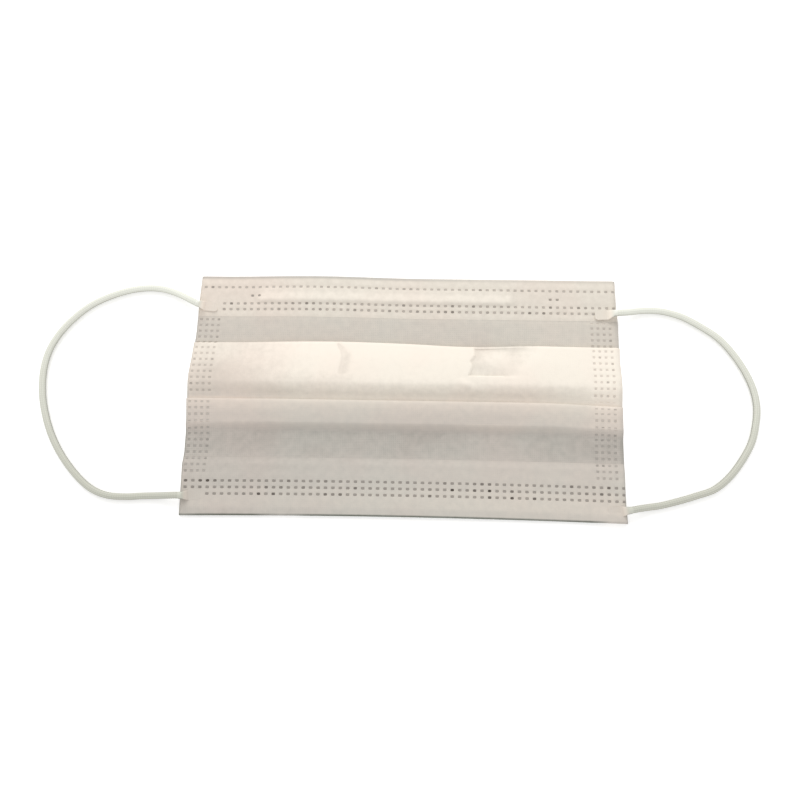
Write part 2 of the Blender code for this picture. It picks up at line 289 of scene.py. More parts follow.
# %% A material
class Finish(Web):
    """A material that is being made."""

    def __init__(self, name, constants):
        self.material = bpy.data.materials.new(name)
        self.material.use_nodes = True
        super().__init__(self.material.node_tree)
        self.shader = self.tree.nodes["Principled BSDF"]
        self.surface(constants)

    def place(self):
        """Where a point is on its piece."""
        return self.node("ShaderNodeTexCoord", out="Object")

    def stored(self, label):
        """A value that the mesh stores on its corners."""
        return self.node("ShaderNodeAttribute", {"attribute_name": label}, out="Fac")

    def noise(self, place, per_metre, flat=False, **inputs):
        """Cloudiness from 0 to 1, over a surface or in space."""
        named = {label.capitalize(): value for label, value in inputs.items()}
        return self.node("ShaderNodeTexNoise", {"noise_dimensions": "2D" if flat else "3D"},
                         {"Vector": place, "Scale": per_metre, **named})

    def blend(self, share, one, other, blend_type="MIX"):
        """Mix two colours by a share from 0 to 1."""
        settings = {"data_type": "RGBA", "blend_type": blend_type}
        return self.node("ShaderNodeMix", settings, {0: share, 6: one, 7: other}, out=2)

    def bump(self, height, strength, depth):
        """Relief that is too fine to model and only bends the light."""
        return self.node("ShaderNodeBump", {}, {"Height": height, "Strength": strength,
                                                "Distance": depth})

    def surface(self, links):
        for label, value in links.items():
            self.put(self.shader.inputs[label], value)


def srgb(red, green, blue):
    """A colour given from 0 to 255, as the linear colour that a shader takes."""
    linear = []
    for part in (red, green, blue):
        share = part / 255
        linear.append(share / 12.92 if share <= 0.04045 else ((share + 0.055) / 1.055) ** 2.4)
    return (*linear, 1.0)


print("white paper in linear light", [round(part, 2) for part in srgb(240, 240, 240)])

# %% [markdown]
# ## Nonwoven cloth
# The mask is spunbond: fine threads laid at random and bonded in a grid of tiny diamonds.
# Where one thickness lies alone it is see-through and greyer, and where the pleats put
# three on top of each other it is bright. A value stored on every corner of the mesh says
# how much cloth lies behind it, so the colour follows the real layers. The same value also
# holds painted shade and painted light: dark lines along the rolled edges, shade in the
# dents and toward the panel's left end, light toward the right, and light on the pleats'
# slopes that cancels their shading. The bond points and threads are too fine to model, so
# they are relief that only bends the light. Where the cloth lies alone the roller's
# diagonal web also shows, in faint patches.

# %% Cloth colours
# The first colour is the darkest: the melted cut sides of the chin hem and the painted shade line along the chin
# edge's roll reach it.
EDGE_AND_SHADE_COLOUR = srgb(104, 107, 97)
THIN_COLOUR = srgb(162, 160, 154)
BAND_COLOUR = srgb(200, 194, 187)
THICK_COLOUR = srgb(222, 213, 203)
BRIGHT_COLOUR = srgb(255, 245, 234)
PINK_TINT = (1.0, 0.965, 0.955, 1)
GREEN_TINT = (0.98, 1.0, 0.99, 1)
TINT_CLOUDS = 0.035 / MM
CLOTH_RAMPS = ((-0.35, 0.02, THIN_COLOUR), (0.0, 0.38, BAND_COLOUR), (0.3, 0.68, THICK_COLOUR),
               (0.6, 1.0, BRIGHT_COLOUR))


def cloth_colour(finish, thickness):
    """Dull where the cloth is thin, bright where many layers lie, and darkest where a melted side or a painted shade
    line takes the value to nought or below.
    """
    colour = EDGE_AND_SHADE_COLOUR
    for low, high, thicker in CLOTH_RAMPS:
        colour = finish.blend(thickness.between(low, high), colour, thicker)
    return colour


def tinted_cloth(finish, thickness):
    """Cloth that drifts from a green to a pink white, pinker toward the left and the chin."""
    place = finish.place()
    leftward = finish.part(place, "X") * -1.0
    chinward = finish.part(place, "Y") * -1.0
    drift = finish.noise(place, TINT_CLOUDS, detail=2.0)
    chin_share = chinward.between(-1 * MM, 7 * MM) - chinward.between(27 * MM, 36 * MM) * 0.7
    pinkness = (drift.between(0.35, 0.65) * 0.5 + leftward.between(35 * MM, 65 * MM) * 0.4
                + chin_share * 0.35 - 0.1)
    tint = finish.blend(pinkness, GREEN_TINT, PINK_TINT)
    return finish.blend(1.0, cloth_colour(finish, thickness), tint, "MULTIPLY")


print("bright cloth in linear light", [round(part, 2) for part in BRIGHT_COLOUR])

# %% Cloth finish
BOND_PITCH = 1.1 * MM
WEB_PITCH = 0.9 * MM
THREAD_PITCH = 0.22 * MM
FIBRE_CLOUDS = 0.35 / MM
WEB_PATCHES = 0.045 / MM
BOND_COLOUR, BOND_SHARE = srgb(110, 110, 106), 0.18
WEB_COLOUR, WEB_SHARE = srgb(214, 213, 206), 0.26
CLOUDINESS, THREADINESS = 0.2, 0.05


def cloth_finish(name, clearness):
    """Nonwoven whose colour follows the stored layers with their painted light and shade, and whose bonds show with a
    clearness.
    """
    finish = Finish(name, {"Sheen Weight": 0.15, "Sheen Roughness": 0.5})
    place = finish.node("ShaderNodeUVMap", {"uv_map": "cloth"})
    clouds = finish.noise(place, FIBRE_CLOUDS, flat=True, detail=4.0, roughness=0.6)
    threads = finish.noise(place, 1 / THREAD_PITCH, flat=True, detail=3.0, distortion=1.5)
    patches = finish.noise(place, WEB_PATCHES, flat=True, detail=1.0)
    diagonal = finish.node("ShaderNodeMapping", {},
                           {"Vector": place, "Rotation": (0, 0, math.radians(45))})

    def crossing(pitch, wave):
        """Two diagonal waves that cross."""
        along, across = (finish.part(diagonal, axis) * (math.tau / pitch) for axis in "XY")
        return along.math(wave) * across.math(wave)

    bonds = crossing(BOND_PITCH, "COSINE").between(0.25, 0.7)
    web = crossing(WEB_PITCH, "SINE").between(0.0, 0.5) * patches.between(0.47, 0.62)
    # The thickness is the stored layers with their painted light and shade, plus fibre clouds and threads.
    thickness = (finish.stored("cover") + (clouds - 0.5) * CLOUDINESS
                 + (threads - 0.5) * THREADINESS)
    thin_bonds = (1 - thickness).between(0.3, 0.9) * bonds
    lone_web = (1 - thickness.between(0.2, 0.4)) * web
    bonded = finish.blend(thin_bonds * (BOND_SHARE * clearness),
                          tinted_cloth(finish, thickness), BOND_COLOUR)
    colour = finish.blend(lone_web * (WEB_SHARE * clearness), bonded, WEB_COLOUR)
    height = threads * 0.35 - (1.1 - thickness) * bonds * clearness + clouds * 0.6
    finish.surface({"Base Color": colour, "Normal": finish.bump(height, 0.35, 0.12 * MM),
                    "Roughness": 0.9 - bonds * 0.2})
    return finish.material


sheet_material = cloth_finish("three-ply nonwoven", 1.0)
hem_material = cloth_finish("turned-over nonwoven", 0.5)
print("cloth finishes", sheet_material.name, hem_material.name)

# %% [markdown]
# ## Lengths of the mask
# The frame was built from a few plain lengths, and the dressed pieces start from the same
# ones. They run down the mask from the nose edge: a hem, a band, a pleat, a band, a pleat,
# a band and the chin hem. Real cloth isn't a perfect rectangle, so one function carries
# every point of the plain rectangle to the soft outline.

# %% Lengths down the mask
HALF_WIDTH = 87.5 * MM
HALF_HEIGHT = 50.35 * MM
NOSE_HEM_END = 32.35 * MM
FIRST_FOLD = 20.75 * MM
FIRST_HIDDEN_FOLD = 4.85 * MM
FIRST_STEP_END = -1.6 * MM
SECOND_FOLD = -3.15 * MM
SECOND_HIDDEN_FOLD = -12.35 * MM
SECOND_STEP_END = -16.6 * MM
CHIN_HEM_END = -27.05 * MM
low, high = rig.box("pleated_cloth")
print("cloth box in mm", [round(value / MM, 1) for value in (*low, *high)])

# %% Ramps and bells
def smooth_step(share):
    share = min(max(share, 0.0), 1.0)
    return share * share * (3 - 2 * share)


def ramp(place, start, run):
    """Nought before the start and one past the run. A negative run rises the other way."""
    return smooth_step((place - start) / run)


def bell(distance, reach):
    """One in the middle, nought at the reach, and smooth between."""
    return 1 - smooth_step(abs(distance) / reach)


def bells(rows, x, y):
    """Sum of a table of bells, each row an x, its reach, a y, its reach and a height."""
    return sum(height * bell(x - middle_x, reach_x) * bell(y - middle_y, reach_y)
               for middle_x, reach_x, middle_y, reach_y, height in rows)


def read_off(stops, place):
    """Value at a place in a list of (place, value) pairs whose places fall."""
    for (place_a, value_a), (place_b, value_b) in zip(stops, stops[1:]):
        if place >= place_b:
            share = min(max((place_a - place) / (place_a - place_b), 0), 1)
            return value_a + (value_b - value_a) * share
    return stops[-1][1]


print("a ramp at a quarter of its run", round(ramp(0.25, 0, 1), 3))

# %% The soft outline
LEFT_BOW = 0.9 * MM
RIGHT_BOW = 0.2 * MM
NOSE_EDGE_SWELL = 0.7 * MM
CHIN_EDGE_HOLLOW = 1.0 * MM
SWELL_CENTRE = -0.42
SWELL_REACH = 0.5
NOSE_EDGE_TRIM = 0.2 * MM
CHIN_EDGE_TRIM = 0.1 * MM
LEFT_TRIM = ((50, -0.75), (24, -0.85), (15, -0.35), (7, 0.4), (-1, 0.4), (-7, -0.1), (-12, -0.5),
             (-25, -0.5), (-30, -0.15), (-50, -0.25))
RIGHT_TRIM = ((50, 0.0), (38, 0.0), (32, 0.5), (24, 0.4), (15, 0.1), (8, 0.45), (-1, 0.5),
              (-8, 0.0), (-22, -0.2), (-32, -0.35), (-50, -0.4))
OUTLINE_MIDDLE = Vector(((RIGHT_BOW - LEFT_BOW) / 2, NOSE_EDGE_SWELL / 2, 0))


def on_outline(x, y, z):
    """Where a point of the plain rectangle lies on the real cloth."""
    across = x / HALF_WIDTH
    along = y / HALF_HEIGHT
    bow, trim = (LEFT_BOW, LEFT_TRIM) if x < 0 else (RIGHT_BOW, RIGHT_TRIM)
    side_trim = read_off(trim, y / MM) * MM
    side_push = across * (bow * (1 - along ** 2) + abs(across) * side_trim)
    nose_push = NOSE_EDGE_SWELL * bell(across - SWELL_CENTRE, SWELL_REACH) - NOSE_EDGE_TRIM
    chin_push = CHIN_EDGE_HOLLOW * (1 - across ** 2) + CHIN_EDGE_TRIM
    end_push = nose_push * max(along, 0) + chin_push * max(-along, 0)
    return Vector((x + side_push, y + end_push, z)) - OUTLINE_MIDDLE


print("chin's left corner in mm",
      [round(part / MM, 1) for part in on_outline(-HALF_WIDTH, -HALF_HEIGHT, 0)])

# %% [markdown]
# ## Weld dots, charted as a list
# Nothing on this mask is sewn. A toothed wheel presses hot dots through the plies: one row
# along the nose edge, two under the wire, three along the chin edge and four columns down
# each side. They decide where the cloth is pulled flat, so they come before the cloth. Each
# dot is a row of numbers, and the same list cuts the recesses and places the melted film.

# %% Chart of weld dots
NOSE_PITCH = 2.91 * MM
CHIN_PITCH = 2.92 * MM
NOSE_FIRST_X = -85.25 * MM
CHIN_FIRST_X = -85.55 * MM
NOSE_DOT = (0.72 * MM, 0.58 * MM)
SIDE_DOT = (0.62 * MM, 0.53 * MM)
CHIN_DOT = (0.76 * MM, 0.60 * MM)
SPARE_DOT = (0.7 * MM, 0.56 * MM)
NOSE_ROWS = ((45.3, range(0, 60)), (38.0, range(3, 60)), (35.5, range(3, 57)))
SPARE_ROWS = ((41.5, (7, 8, 50, 51)),)
CHIN_ROWS = ((-36.7, range(0, 60)), (-39.3, range(0, 60)), (-41.9, range(3, 60)))
LEFT_COLUMNS = (-85.9, -83.4, -81.0, -78.5)
RIGHT_COLUMNS = (76.8, 79.2, 81.7, 84.2)
SIDE_DOTS_DOWN = 26
LEFT_FIRST_Y, LEFT_PITCH = 31.1 * MM, 2.556 * MM
RIGHT_FIRST_Y, RIGHT_PITCH = 31.9 * MM, 2.6 * MM


def row_dots(rows, first_x, pitch, size):
    """Dots of rows across the mask, each as (x, y, half length, half width)."""
    return [(first_x + number * pitch, y * MM, *size) for y, numbers in rows for number in numbers]


def column_dots(columns, first_y, pitch):
    return [(x * MM, first_y - number * pitch, *SIDE_DOT)
            for x in columns for number in range(SIDE_DOTS_DOWN)]


nose_dots = (row_dots(NOSE_ROWS, NOSE_FIRST_X, NOSE_PITCH, NOSE_DOT)
             + row_dots(SPARE_ROWS, NOSE_FIRST_X, NOSE_PITCH, SPARE_DOT))
chin_row_dots = row_dots(CHIN_ROWS, CHIN_FIRST_X, CHIN_PITCH, CHIN_DOT)
left_dots = column_dots(LEFT_COLUMNS, LEFT_FIRST_Y, LEFT_PITCH)
side_dots = left_dots + column_dots(RIGHT_COLUMNS, RIGHT_FIRST_Y, RIGHT_PITCH)
upper_dots = nose_dots + chin_row_dots + side_dots
underside_dots = nose_dots + side_dots + row_dots(CHIN_ROWS, NOSE_FIRST_X, NOSE_PITCH, NOSE_DOT)
print("weld dots on the wearer's side", len(upper_dots))

# %% [markdown]
# ## Layers of the stack
# A pleat puts three layers on top of each other. Near the sides the welds press them almost
# into one board, and in the middle they lie loose, so the pitch from layer to layer grows
# away from the sides. Between the dots the cloth stands up a little, like a quilt. All of it
# is a height that depends on the place, so the layers can never pass through each other.

# %% Heights of the layers
WALL = 0.7 * MM
CUT_SIDE_SHARE = 0.62
CUT_SIDE_RUN = 1.1 * MM
PRESSED_PITCH = 0.78 * MM
LOOSE_PITCH = 1.25 * MM
HEM_LOOSE_PITCH = 0.92 * MM
WELDED_BAND = 12 * MM
LOOSENING = 26 * MM
QUILT = 0.16 * MM
QUILT_REACH = 1.7 * MM


def from_side(x):
    return HALF_WIDTH - abs(x)


def cut_side(x):
    """Share of its height that the cloth keeps, which the cut presses thinner at a side."""
    return CUT_SIDE_SHARE + (1 - CUT_SIDE_SHARE) * ramp(from_side(x), 0, CUT_SIDE_RUN)


def pitch_at(x, loose=LOOSE_PITCH):
    opened = ramp(from_side(x), WELDED_BAND, LOOSENING)
    return (PRESSED_PITCH + (loose - PRESSED_PITCH) * opened) * cut_side(x)


dot_tree = kdtree.KDTree(len(upper_dots))
for number, dot in enumerate(upper_dots):
    dot_tree.insert((*dot[:2], 0), number)
dot_tree.balance()


def quilt(x, y):
    """How far the cloth stands up between the weld dots."""
    distance = dot_tree.find((x, y, 0))[2]
    return QUILT * ramp(distance, SIDE_DOT[1], QUILT_REACH)


print("pitch in mm at the side and the middle", round(pitch_at(0.08) / MM, 2),
      round(pitch_at(0) / MM, 2))

# %% [markdown]
# ## Soft irregularities
# The photographed mask has two dents in its bright panel, folds that wander by a millimetre
# and a chin corner that curls. Each is a bell or a ramp in plain numbers, so that it can be
# moved or taken out by itself. The left dent is a crescent with one crisp side, and the
# right one is a hollow whose left and lower rims are crisp and whose right side is soft.

# %% Wander and small wrinkles
WANDER = (
    (-25, 42, 20.75, 9, 0.45),
    (27, 30, 20.75, 9, -0.8),
    (95, 42, -3.15, 6, -1.1),
    (95, 40, -13.5, 6, -1.2),
    (-95, 22, -13.5, 6, -1.1),
)
WRINKLES = (
    {"from": (25.8, -19.6), "to": (31.6, -19.3), "wide": 0.8, "high": 0.35},
    {"from": (48.6, -17.4), "to": (56.3, -17.5), "wide": 0.8, "high": 0.35},
    {"from": (-20.6, -25.0), "to": (-17.7, -20.5), "wide": 0.8, "high": 0.3},
    {"from": (-23.0, -19.5), "to": (-8.0, -18.6), "wide": 1.3, "high": 0.22},
    {"from": (20.5, 5.8), "to": (29.5, 1.5), "wide": 2.2, "high": 0.4},
)
CORNER_CURL = 1.1 * MM
CURL_X, CURL_REACH = 84 * MM, 13 * MM
CURL_Y, CURL_RUN = -43 * MM, -8 * MM
WAVE_LENGTH, WAVE_HEIGHT = 19 * MM, 9 * MM


def wander(x, y):
    """How far a fold strays along the mask's height at a place."""
    return bells(WANDER, x / MM, y / MM) * MM


def wrinkles(x, y):
    """Height of the small wrinkles at a place given in millimetres."""
    height = 0
    for row in WRINKLES:
        start, end = Vector(row["from"]), Vector(row["to"])
        run = end - start
        share = min(max((Vector((x, y)) - start).dot(run) / run.length_squared, 0), 1)
        off_line = (Vector((x, y)) - start - run * share).length
        swelling = math.sin(math.pi * (0.1 + 0.8 * share))
        height += row["high"] * bell(off_line, row["wide"]) * swelling
    return height * MM


def waves(x, y, seed):
    """Slow unevenness from 0 to 1."""
    return 0.5 + 0.5 * noise.noise(Vector((x / WAVE_LENGTH, y / WAVE_HEIGHT, seed)))


def corner_curl(x, y):
    return CORNER_CURL * bell(x - CURL_X, CURL_REACH) * ramp(y, CURL_Y, CURL_RUN)


print("wrinkles charted", len(WRINKLES), "strays", len(WANDER))

# %% Dents of the bright panel
CRESCENT_RIM = ((20.3, -28.0), (18.2, -27.4), (16.5, -26.6), (14.5, -26.2), (12.0, -26.4),
                (9.9, -26.9), (7.9, -27.0), (6.6, -26.8))
CRESCENT_WIDTH = ((20.3, 1.6), (18.2, 4.4), (16.0, 6.2), (13.5, 6.6), (11.2, 6.5), (9.0, 6.0),
                  (7.6, 5.4), (6.6, 4.4))
CRESCENT_TOP, CRESCENT_FOOT = 20.9, 6.6
CRISP_SHARE, FADE_SHARE = 0.12, 0.5
CRESCENT_DEPTH = 0.14 * MM
HOLLOW_RIM = ((20.0, 27.4), (18.4, 27.9), (15.9, 28.1), (13.5, 26.2), (11.5, 27.0), (9.0, 26.2),
              (6.5, 24.9))
HOLLOW_DEPTH = 0.65 * MM
HOLLOW_FLOOR = 7.0
HOLLOW_SOFT_FROM, HOLLOW_SOFT_RUN = 37.0, 12.0
HOLLOW_LEAN = 0.6
SWELLING = {"x": 38, "reach_x": 10, "y": 14, "reach_y": 6, "share": 0.85}


def crescent(x, y):
    """Share of the crescent's depth at a place given in millimetres."""
    inward = (x - read_off(CRESCENT_RIM, y)) / read_off(CRESCENT_WIDTH, y)
    ends = ramp(y, CRESCENT_TOP, -1.2) * ramp(y, CRESCENT_FOOT, 1.4)
    return ramp(inward, 0, CRISP_SHARE) * (1 - ramp(inward, FADE_SHARE, FADE_SHARE)) * ends


def hollow(x, y, fold_y=20.4, fold_run=2.5):
    """Share of the hollow's depth at a place given in millimetres."""
    rims = ramp(x, read_off(HOLLOW_RIM, y), 0.9) * ramp(y, HOLLOW_FLOOR, 0.7)
    fold = ramp(y, fold_y, -fold_run)
    leaning_x = x - HOLLOW_LEAN * (y - HOLLOW_FLOOR)
    fade = 1 - ramp(leaning_x, HOLLOW_SOFT_FROM, HOLLOW_SOFT_RUN)
    from_swelling = math.hypot((x - SWELLING["x"]) / SWELLING["reach_x"],
                               (y - SWELLING["y"]) / SWELLING["reach_y"])
    return rims * fold * fade * (1 - SWELLING["share"] * bell(from_swelling, 1))


print("hollow at its middle and its rim", round(hollow(31, 10), 2), round(hollow(26, 10), 2))

# %% [markdown]
# ## A thin wall swept across the mask
# Sheet and hems are all a thin wall: a line of points down the mask, repeated at places
# across it. Building both skins from one grid gives clean strips of faces, a UV map that
# counts millimetres of unfolded cloth, and cells that end exactly at the weld dots.

# %% Rows down the mask
CLOSEST = 0.14 * MM
ROUNDING = 0.001
EDGE_DIGITS = 7
FOLD_STEPS = 7
FLAT_STEP = 1.7 * MM


class Row:
    """A line across the cloth: its place down the mask, its layer and its part of a fold."""

    def __init__(self, run, y, layer, outward=0, swing=0.0):
        self.run = run
        self.y = y
        self.layer = layer
        self.outward = outward
        self.swing = swing


def placed(start, end, edges, widest):
    """Places from start to end: the edges that lie between them, and even ones between."""
    low_end, high_end = min(start, end), max(start, end)
    kept = [low_end]
    for edge in sorted(edges):
        if edge - kept[-1] > CLOSEST and high_end - edge > CLOSEST:
            kept.append(edge)
    kept.append(high_end)
    places = [low_end]
    for before, after in zip(kept, kept[1:]):
        pieces = math.ceil((after - before) / widest - ROUNDING)
        places += [before + (after - before) * piece / pieces for piece in range(1, pieces + 1)]
    return places if start < end else places[::-1]


def dot_edges(dots, axis):
    """Both edges of every dot, along the width (0) or down the mask (1)."""
    return {round(dot[axis] + way * dot[2 + axis], EDGE_DIGITS)
            for dot in dots for way in (-1, 1)}


def flat_rows(run, start, end, layer, edges=(), widest=FLAT_STEP):
    return [Row(run, y, layer) for y in placed(start, end, edges, widest)]


def turn_rows(run, tip, outward, steps, from_layer, to_layer):
    """Rows round a fold's tip, from one layer to another."""
    rows = []
    for step in range(steps + 1):
        angle = math.pi * step / steps
        layer = (from_layer + to_layer + (from_layer - to_layer) * math.cos(angle)) / 2
        rows.append(Row(run, tip, layer, outward, math.sin(angle)))
    return rows


print("a fold takes", FOLD_STEPS + 1, "rows")

# %% The swept wall
OUTER, INNER = 0, 1


def swept_wall(columns, rows, place, cover):
    """Both skins of a wall as a bmesh, the faces of each by column and row, and its length."""
    mesh_bm = bmesh.new()
    cover_layer = mesh_bm.verts.layers.float.new("cover")
    uv_layer = mesh_bm.loops.layers.uv.new("cloth")
    middle_line = [Vector(place(row, 0)[:2]) for row in rows]
    unfolded = [0.0]
    for before, after in zip(middle_line, middle_line[1:]):
        unfolded.append(unfolded[-1] + (after - before).length)
    skins = ([], [])
    map_place = {}
    for x in columns:
        line = [place(row, x) for row in rows]
        strips = ([], [])
        for number, (y, z, wall) in enumerate(line):
            before = line[max(number - 1, 0)]
            after = line[min(number + 1, len(line) - 1)]
            run = Vector((after[0] - before[0], after[1] - before[1])).normalized()
            aside = Vector((-run.y, run.x)) * wall / 2
            for side, way in enumerate((1, -1)):
                corner = mesh_bm.verts.new(on_outline(x, y + way * aside.x, z + way * aside.y))
                corner[cover_layer] = cover(rows[number], x, y, side)
                map_place[corner] = (x, unfolded[number])
                strips[side].append(corner)
        for skin, strip in zip(skins, strips):
            skin.append(strip)

    def joined(strip, following):
        """Faces between two strips of corners."""
        return [mesh_bm.faces.new((strip[n], strip[n + 1], following[n + 1], following[n]))
                for n in range(len(strip) - 1)]

    faces = [[joined(strip, following) for strip, following in zip(skin, skin[1:])]
             for skin in skins]
    outer, inner = skins
    for end in (0, -1):
        joined(outer[end], inner[end])
        joined([strip[end] for strip in outer], [strip[end] for strip in inner])
    bmesh.ops.recalc_face_normals(mesh_bm, faces=mesh_bm.faces)
    for face in mesh_bm.faces:
        for loop in face.loops:
            loop[uv_layer].uv = map_place[loop.vert]
    return mesh_bm, faces, unfolded[-1]


def finished_piece(name, mesh_bm, material, sharp_deg=38):
    mesh = bpy.data.meshes.new(name)
    mesh_bm.to_mesh(mesh)
    mesh_bm.free()
    mesh.shade_smooth()
    mesh.set_sharp_from_angle(angle=math.radians(sharp_deg))
    mesh.materials.append(material)
    return into_scene(name, mesh)


print("skins of a wall", {"outer": OUTER, "inner": INNER})

# %% [markdown]
# ## Pressing the dots
# Under each tooth of the wheel the plies are melted to a film that lies lower than the cloth
# round it. The cells of a dot are found by their middles, all dots are inset at once, and the
# floor of each recess is noted for the film that goes in later.

# %% Recesses at the weld dots
DOT_BEVEL = 0.13 * MM
DOT_DEPTH = 0.17 * MM
FILM_TONES = {NOSE_DOT: 0.42, SIDE_DOT: 0.26, CHIN_DOT: 0.55, SPARE_DOT: 0.6}
film_spots = []


def press_dots(mesh_bm, faces, columns, rows, dots, seen):
    """Sink the cells of each dot on one skin, and note the middle and facing of its floor."""
    column_mids = [(a + b) / 2 for a, b in zip(columns, columns[1:])]
    row_mids = [(a.y + b.y) / 2 if a.run == b.run and seen(a) else math.inf
                for a, b in zip(rows, rows[1:])]
    cells = []
    for x, y, *size in dots:
        found = [faces[i][j] for i, column_mid in enumerate(column_mids)
                 if abs(column_mid - x) < size[0]
                 for j, row_mid in enumerate(row_mids) if abs(row_mid - y) < size[1]]
        if found:
            cells.append((found, tuple(size)))
    pressed = [face for found, size in cells for face in found]
    bmesh.ops.inset_region(mesh_bm, faces=pressed, thickness=DOT_BEVEL, depth=-DOT_DEPTH,
                           use_even_offset=True, use_boundary=True, use_interpolate=True)
    mesh_bm.normal_update()
    cover_layer = mesh_bm.verts.layers.float["cover"]
    for found, size in cells:
        covers = [corner[cover_layer] for face in found for corner in face.verts]
        area = sum(face.calc_area() for face in found)
        middle = sum((face.calc_center_median() * face.calc_area() for face in found), Vector())
        facing = sum((face.normal * face.calc_area() for face in found), Vector())
        film_spots.append({
            "middle": middle / area, "outward": facing.normalized(),
            "spread": (2 * size[0] - DOT_BEVEL, 2 * size[1] - DOT_BEVEL, 1.0),
            "tone": FILM_TONES[size], "cover": sum(covers) / len(covers)})
    return len(cells)


print("recess depth in mm", round(DOT_DEPTH / MM, 2))

# %% [markdown]
# ## The pleated sheet
# One sheet runs from edge to edge. Each pleat doubles it back and forward again, so it is
# modelled as that one folded sheet and not as loose strips. The outer skin is the mask's
# coloured front, which faces the table, and the inner skin is the side that touches a face.

# %% Rows of the pleated sheet
SHEET_END = 49.3 * MM
FOLD_ROOM = 1.1 * MM
RETURN_STEP = 3 * MM
FIRST_PLEAT = {"fold": FIRST_FOLD, "hidden_fold": FIRST_HIDDEN_FOLD, "end": FIRST_STEP_END,
               "panel_step": 0.6 * MM, "steps": 9}
SECOND_PLEAT = {"fold": SECOND_FOLD, "hidden_fold": SECOND_HIDDEN_FOLD, "end": SECOND_STEP_END,
                "panel_step": 1 * MM, "steps": 8}
LOWER_BAND_STEP = 1.1 * MM
side_edges = dot_edges(side_dots, 1)
left_edges = dot_edges(left_dots, 1)
hem_edges = dot_edges(nose_dots + chin_row_dots, 1)


def step_rows(run, start, end, steps):
    """Rows where the sheet comes down from the top layer to the surface."""
    return [Row(run, y, 2 * (1 - ramp(y, start, end - start)))
            for y in placed(start, end, side_edges, abs(end - start) / steps)]


def pleat_rows(pleat, start, fold, hidden_fold, end, panel_step, steps):
    """Rows of one pleat: in under it, back up, forward over the top and down again."""
    return (
        flat_rows(f"under {pleat} pleat", start, hidden_fold + FOLD_ROOM, 0, left_edges)[1:]
        + turn_rows(f"{pleat} hidden fold", hidden_fold, -1, FOLD_STEPS, 0, 1)
        + flat_rows(f"{pleat} return", hidden_fold + 2 * FOLD_ROOM, fold - 2 * FOLD_ROOM, 1, (),
                    RETURN_STEP)
        + turn_rows(f"{pleat} fold", fold, 1, FOLD_STEPS, 1, 2)
        + flat_rows(f"{pleat} panel", fold - FOLD_ROOM, hidden_fold, 2, side_edges, panel_step)
        + step_rows(f"{pleat} step", hidden_fold, end, steps)[1:])


sheet_rows = (
    flat_rows("nose zone", SHEET_END, NOSE_HEM_END, 0, hem_edges)
    + flat_rows("upper band", NOSE_HEM_END, FIRST_FOLD, 0, side_edges)[1:]
    + pleat_rows("first", FIRST_FOLD, **FIRST_PLEAT)
    + pleat_rows("second", FIRST_STEP_END, **SECOND_PLEAT)
    + flat_rows("lower band", SECOND_STEP_END, CHIN_HEM_END, 0, side_edges, LOWER_BAND_STEP)[1:]
    + flat_rows("chin zone", CHIN_HEM_END, -SHEET_END, 0, left_edges | hem_edges)[1:]
)
print("rows down the sheet", len(sheet_rows))

# %% [markdown]
# ### How much cloth lies behind each place, with painted light and shade
# These stops follow what the eye sees: dull where the cloth lies alone, bright over the
# pleats, and in between under the hems. Some stops are painted light and shade: the upper
# band is lighter just under the nose hem's edge to cancel that edge's shadow, both steps
# stay bright down their slopes to cancel their shading, and the lower band starts darker
# just under the second pleat as painted shade. Each run of the sheet has its own list, from
# its start to its end, because two runs can lie at the same place in different layers.

# %% Cover of the sheet
SEEN_FROM_ABOVE = {
    # Painted light: lighter just under the nose hem's edge, to cancel that edge's shadow.
    "upper band": ((32.35, 0.58), (31.1, 0.48), (20.75, 0.45)),
    "first fold": ((20.75, 0.96), (20.0, 0.96)),
    "first panel": ((19.6, 0.99), (9.0, 0.97), (6.5, 0.95), (4.85, 0.9)),
    # Painted light: the cloth stays bright down the step's slope, to cancel its shading.
    "first step": ((4.85, 0.9), (2.2, 0.81), (-1.6, 0.64)),
    "under second pleat": ((-1.6, 0.64), (-3.0, 0.61)),
    "second fold": ((-3.15, 0.62), (-4.0, 0.63)),
    "second panel": ((-4.2, 0.61), (-5.2, 0.56), (-7.2, 0.48), (-9.5, 0.43),
                     (-12.35, 0.41)),
    # Painted light: the cloth stays bright down the step's slope, to cancel its shading.
    "second step": ((-12.35, 0.43), (-14.4, 0.39), (-16.6, 0.19)),
    # Painted shade: darker just under the second pleat, lighter toward the chin hem.
    "lower band": ((-16.6, 0.18), (-24.0, 0.21), (-27.05, 0.26)),
}
SEEN_FROM_BELOW = ((50.0, 0.66), (33.0, 0.64), (31.5, 0.3), (21.5, 0.3), (20.0, 0.85),
                   (5.0, 0.85), (3.0, 0.3), (-3.0, 0.3), (-4.0, 0.7), (-12.3, 0.7),
                   (-14.0, 0.25), (-26.5, 0.25), (-27.5, 0.5), (-50.0, 0.5))
# Painted shade on the first pleat: darker toward its left end and in a patch near its lower edge.
FIRST_PLEAT_PAINTED_SHADES = ((-78, 14, 6, 12, -0.1), (-32, 20, 5.5, 4, -0.08))
LEFT_PAINTED_SHADE, LEFT_PAINTED_SHADE_LOW, LEFT_PAINTED_SHADE_FOOT = 0.17, 0.05, 0.08
MIDDLE_LIFT = 0.07
EDGE_DULLING, EDGE_DULLING_RUN = 0.25, 0.7 * MM
# Painted shade in the two dents of the bright panel.
CRESCENT_PAINTED_SHADE, HOLLOW_PAINTED_SHADE = 0.15, 0.17
# Painted light: the cloth is lighter toward the right end of the mask.
RIGHT_PAINTED_LIGHT = 0.06


def edge_dulling(x):
    """What the cut sides lose, where all plies are melted to an edge."""
    return EDGE_DULLING * (1 - ramp(from_side(x), 0, EDGE_DULLING_RUN))


